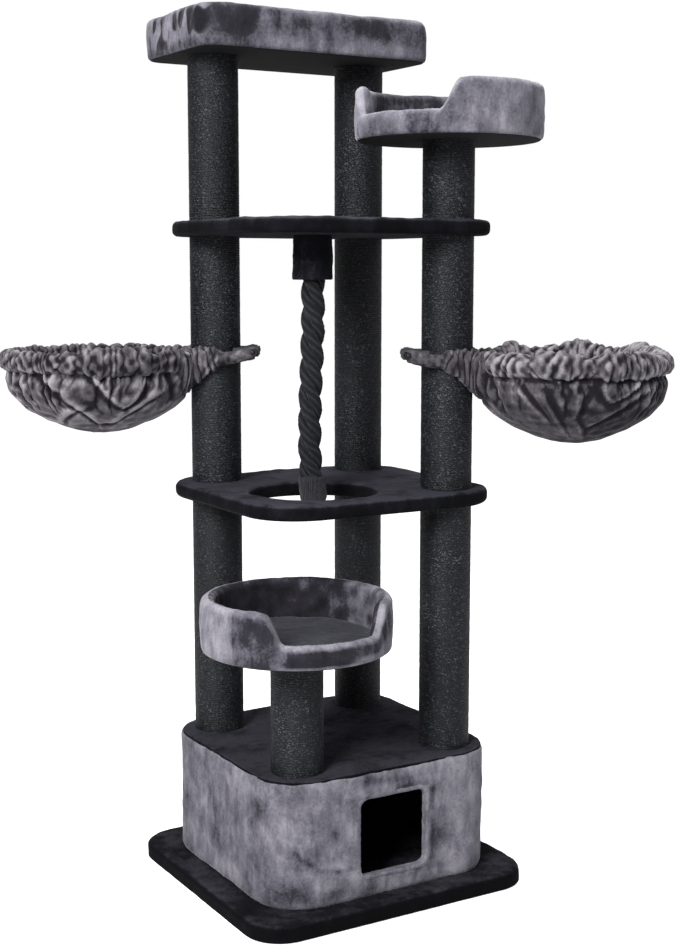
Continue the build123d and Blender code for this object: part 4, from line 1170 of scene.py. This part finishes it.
def hammock_arm(name, hand, level, post, faces, body, seed):
    """Plush sleeve on one arm, carried from inside the roll round the bend and along the arm to
    its raised end. Its section has its own reach outwards, inwards, up and down: slim past the
    post, bulky and gathered beside it, with the bag's corner hanging from it as a fin."""
    flat, run = arm_line()
    u = flat[:, 0]
    lift = 0.013 * np.clip((-0.030 - u) / 0.065, 0, 1) ** 1.3
    path = np.column_stack([u, hand * flat[:, 1], level + lift])
    outward, inward, upward, downward = (np.interp(u, ARM_PLACES, reach)[:, None]
                                         for reach in (ARM_OUT, ARM_IN, ARM_UP, ARM_DOWN))
    around = 64
    turns = np.linspace(0, TAU, around, endpoint=False)
    away, up = np.cos(turns) * hand, np.sin(turns)
    hang = np.clip(-up, 0, 1) ** 1.5
    wide = np.where(away > 0, outward, inward) * (1 - 0.35 * hang * (downward > 0.03))
    high = np.where(up > 0, upward, downward)
    bulk = between(u, -0.012, 0.080, 0.006)[:, None]
    rough = carried(path, np.full((len(u), around), 0.015), UPWARD)
    gather = run[:, None] / 0.017 * math.pi + 1.1 * up + 1.0 * waves(rough, 0.035, seed)
    gather = np.abs(np.sin(gather))
    give = bulk * 0.0050 * (gather ** 0.7 - 0.6)
    give = give + (0.0008 + 0.0022 * bulk) * waves(rough, 0.016, seed + 1)
    give = give * np.clip(0.25 + away + 0.6 * np.abs(up), 0.0, 1.0)
    ends = np.sqrt(np.clip(1 - (1 - np.clip((run[-1] - run) / 0.013, 0, 1)) ** 2, 0.0015, 1))
    ends = ends * np.sqrt(np.clip(run / 0.012, 0.02, 1))
    across, over = square_to(path, UPWARD)
    wide, high = (wide + give) * ends[:, None], (high + give) * ends[:, None]
    grid = (path[:, None] + across[:, None] * (np.cos(turns) * wide)[..., None]
            + over[:, None] * (np.sin(turns) * high)[..., None])
    # Painted shade and highlight: gathers dark in their valleys and paler on ridges, and the slim
    # sleeve's underside painted darker as shade.
    valleys = np.where(gather < 0.45, 1.2 * (0.45 - gather) / 0.45, -0.55 * (gather - 0.45))
    pile_and_painted_light = 0.25 + bulk * valleys + 0.35 * waves(rough, 0.02, seed + 2) + 0.5 * hang * (1 - bulk)
    height = path[:, 2:] - level - hang * downward
    pile_and_painted_light = pile_and_painted_light + 0.9 * spot(u[:, None] + 0 * give, height, (0.066, -0.055), 0.016, 0.022)
    sleeve = grid_mesh(name, placed(grid, post, faces), pile_and_painted_light=pile_and_painted_light)
    dress(sleeve, HAMMOCK_GREY, body, [body + "_arm_covers"])
    # The cap over the clamp bolt's end: a low dome, from its middle out and back over its rim.
    spin = np.linspace(0, TAU, 40, endpoint=False)
    r = np.array([0.0002, 0.0025, 0.0042, 0.0050, 0.0052, 0.0052])[:, None]
    deep = np.array([0.0020, 0.0019, 0.0014, 0.0005, -0.0005, -0.0022])[:, None]
    face = hand * (ARM_V + 0.0122)
    cap = np.dstack([-0.0930 + r * np.cos(spin)[None], face + hand * (deep + 0 * spin[None]),
                     level + 0.0135 + r * np.sin(spin)[None]])
    button = grid_mesh(name + "_bolt_cap", placed(cap, post, faces))
    dress(button, BLACK_STEEL, body)


# How each hammock hangs. shade and roll_shade are how dark the bag and its roll are, roll the
# roll's radius, deep the bag's depth as a share of DEPTH, swing how far its bottom hangs
# outwards, and pleats how many there are to a ruffle. ruffles are bearings and how far apart
# ruffles are there. A lump is its bearing, width and rise; a lap its bearing, width, lowest
# height, drift and rise; a crease its two ends, depth and width; and a smear its bearing and
# height, how wide and tall it is, and how dark.
LOOKS = {
    "left_hammock": {
        "shade": -0.15, "roll_shade": 0.40, "roll": 0.0145, "deep": 0.975, "swing": 0.0, "pleats": 0.5,
        "ruffles": ([-180, -100, -50, 35, 60, 180], [0.030, 0.028, 0.018, 0.018, 0.030, 0.028]),
        "lumps": [(52, 7, 0.003), (80, 6, 0.002), (106, 17, 0.005), (-70, 14, 0.003), (-105, 10, 0.003)],
        "laps": [(108, 19.5, 0.42, 5, 0.0125)],
        "creases": [((54, 0.90), (78, 0.42), 0.0085, 0.035), ((78, 0.44), (93, 0.18), 0.0085, 0.030),
                    ((52, 0.18), (92, 0.44), 0.0045, 0.022), ((92, 0.20), (112, 0.20), 0.0060, 0.028),
                    ((112, 0.20), (136, 0.55), 0.0060, 0.028), ((20, 0.30), (70, 0.07), 0.0060, 0.030),
                    ((143, 0.86), (150, 0.50), 0.0070, 0.040)],
        "smears": [(62, 0.60, 12, 0.20, 1.1), (88, 0.52, 12, 0.12, 1.0), (80, 0.30, 16, 0.09, -0.7),
                   (45, 0.22, 22, 0.08, -0.8), (110, 0.30, 14, 0.07, -0.5), (30, 0.62, 16, 0.22, 0.5),
                   (60, 0.05, 50, 0.05, 0.9), (150, 0.62, 9, 0.16, 1.0), (128, 0.42, 9, 0.14, -0.6)],
    },
    "right_hammock": {
        "shade": 0.70, "roll_shade": 0.0, "roll": 0.0205, "deep": 1.035, "swing": 0.015, "pleats": 0.5,
        "ruffles": ([-180, -80, -50, 66, 84, 180], [0.034, 0.040, 0.0135, 0.0130, 0.036, 0.034]),
        "lumps": [(-118, 9, 0.017), (-73, 17, 0.020), (-30, 13, 0.018), (-12, 6, 0.009), (150, 8, 0.008),
                  (128, 8, 0.007), (104, 11, 0.008)],
        "laps": [(104, 12.5, 0.80, 0, 0.008), (62, 17, 0.56, 13, 0.011)],
        "creases": [((52, 0.62), (88, 0.18), 0.0090, 0.035), ((86, 0.74), (94, 0.36), 0.0070, 0.026),
                    ((94, 0.36), (84, 0.12), 0.0070, 0.028), ((112, 0.72), (103, 0.16), 0.0075, 0.028),
                    ((128, 0.78), (112, 0.30), 0.0070, 0.028), ((38, 0.72), (46, 0.36), 0.0070, 0.030)],
        "smears": [(50, 0.30, 24, 0.22, 1.3), (75, 0.12, 26, 0.08, 0.8), (112, 0.50, 9, 0.22, 0.9),
                   (104, 0.15, 20, 0.07, -0.6), (136, 0.35, 16, 0.10, -0.5), (95, 0.55, 5, 0.20, 0.6),
                   (58, 0.42, 5, 0.07, -0.7), (24, 0.45, 12, 0.16, 0.5)],
    },
}


def make_hammocks():
    """Bag and two arm sleeves of each hammock, which faces the given bearing from its post."""
    for body, post_name, faces, side in (("left_hammock", "left_post", 150.0, 1),
                                         ("right_hammock", "right_post", -30.0, -1)):
        post = axis_of(post_name + "_middle_sisal")
        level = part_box(body + "_frame")[0].z + 0.006
        bag = hammock_bag(body, side, level, post, faces, body, LOOKS[body], 200 + int(faces) % 7)
        for hand in (1, -1):
            word = "front" if hand * side > 0 else "rear"
            hammock_arm(f"{body}_{word}_arm_sleeve", hand, level, post, faces, body, 300 + hand)


# ---- rope sleeve --------------------------------------------------------------------------------
def make_sleeve():
    """Plush sleeve round the rope's fixing: a section carried round the rope's axis, down the
    outside, round a rolled lower edge and up the inside."""
    low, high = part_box("rope_sleeve_plush")
    a = np.linspace(0, TAU, 160, endpoint=False)
    outer, roll_r = (high.x - low.x) / 2, 0.0035
    wall, foot = 0.0071, low.z + roll_r
    arc = np.linspace(-math.pi / 2, math.pi / 2, 13)[1:-1]
    r = np.concatenate([np.full(26, outer), outer - roll_r + roll_r * np.sin(arc[::-1]),
                        np.full(8, outer - wall)])
    z = np.concatenate([np.linspace(high.z + 0.004, foot, 26), foot - roll_r * np.cos(arc),
                        np.linspace(foot, high.z - 0.02, 8)])
    grid = np.dstack([ROPE_AT[0] + r[:, None] * np.cos(a), ROPE_AT[1] + r[:, None] * np.sin(a),
                      z[:, None] + 0 * a])
    give = 0.0008 * waves(grid, 0.05, 95) + 0.0003 * waves(grid, 0.015, 96)
    away = np.stack([np.cos(a), np.sin(a)], -1)
    grid[..., :2] += away[None] * (give * (r[:, None] > outer - 0.004))[..., None]
    sleeve = grid_mesh("rope_sleeve_cover", grid, ring_rows=True)
    dress(sleeve, BLACK, "tree", ["rope_sleeve_plush"])


# ---- surroundings -------------------------------------------------------------------------------
def floor():
    """Plain pale floor, faintly uneven in tone, that glows a little where it is seen directly."""
    made, tree, where, skin = start_material("pale studio floor")
    tone = grain(tree, where, 0.6, 3.0, 0.5)
    tree.links.new(ramp(tree, tone, [(0.3, (0.66, 0.66, 0.665)), (0.7, (0.70, 0.70, 0.705))]),
                   skin.inputs["Base Color"])
    skin.inputs["Roughness"].default_value = 0.9
    skin.inputs["Emission Color"].default_value = (1.0, 1.0, 1.0, 1.0)
    seen = add(tree, "ShaderNodeLightPath").outputs["Is Camera Ray"]
    tree.links.new(sums(tree, "MULTIPLY", seen, 0.82), skin.inputs["Emission Strength"])
    u, v = np.meshgrid(np.linspace(-14, 14, 9), np.linspace(-10, 18, 9))
    below = 0.0002
    ground = grid_mesh("studio_floor", np.dstack([u, v, 0 * u - below]), ring_cols=False, ends=False)
    if ground.data.polygons[0].normal.z < 0:
        ground.data.flip_normals()
    ground.data.materials.append(made)


def studio():
    """Surroundings that look white and light the tree as a soft grey, and three soft boxes: left
    of the camera, right of it, and overhead."""
    bpy.context.scene.view_settings.view_transform = "Standard"
    world = bpy.data.worlds.new("studio")
    bpy.context.scene.world = world
    world.use_nodes = True
    tree = world.node_tree
    back = tree.nodes["Background"]
    seen = add(tree, "ShaderNodeLightPath").outputs["Is Camera Ray"]
    tree.links.new(ramp(tree, seen, [(0.0, (0.34, 0.34, 0.35)), (1.0, (1.0, 1.0, 1.0))]),
                   back.inputs["Color"])
    back.inputs["Strength"].default_value = 1.0
    lamp("key light", (-3.9, -2.7, 3.5), (0.0, 0.0, 1.1), 1.9, 560.0)
    lamp("fill light", (2.6, -4.0, 2.6), (0.0, 0.0, 1.0), 2.6, 40.0)
    lamp("top light", (0.0, 0.2, 4.8), (0.0, 0.0, 1.0), 2.6, 210.0)


camera()
make_rope()
finish_cad()
make_covers()
make_house()
make_posts()
make_beds()
make_sleeve()
make_hammocks()
floor()
studio()
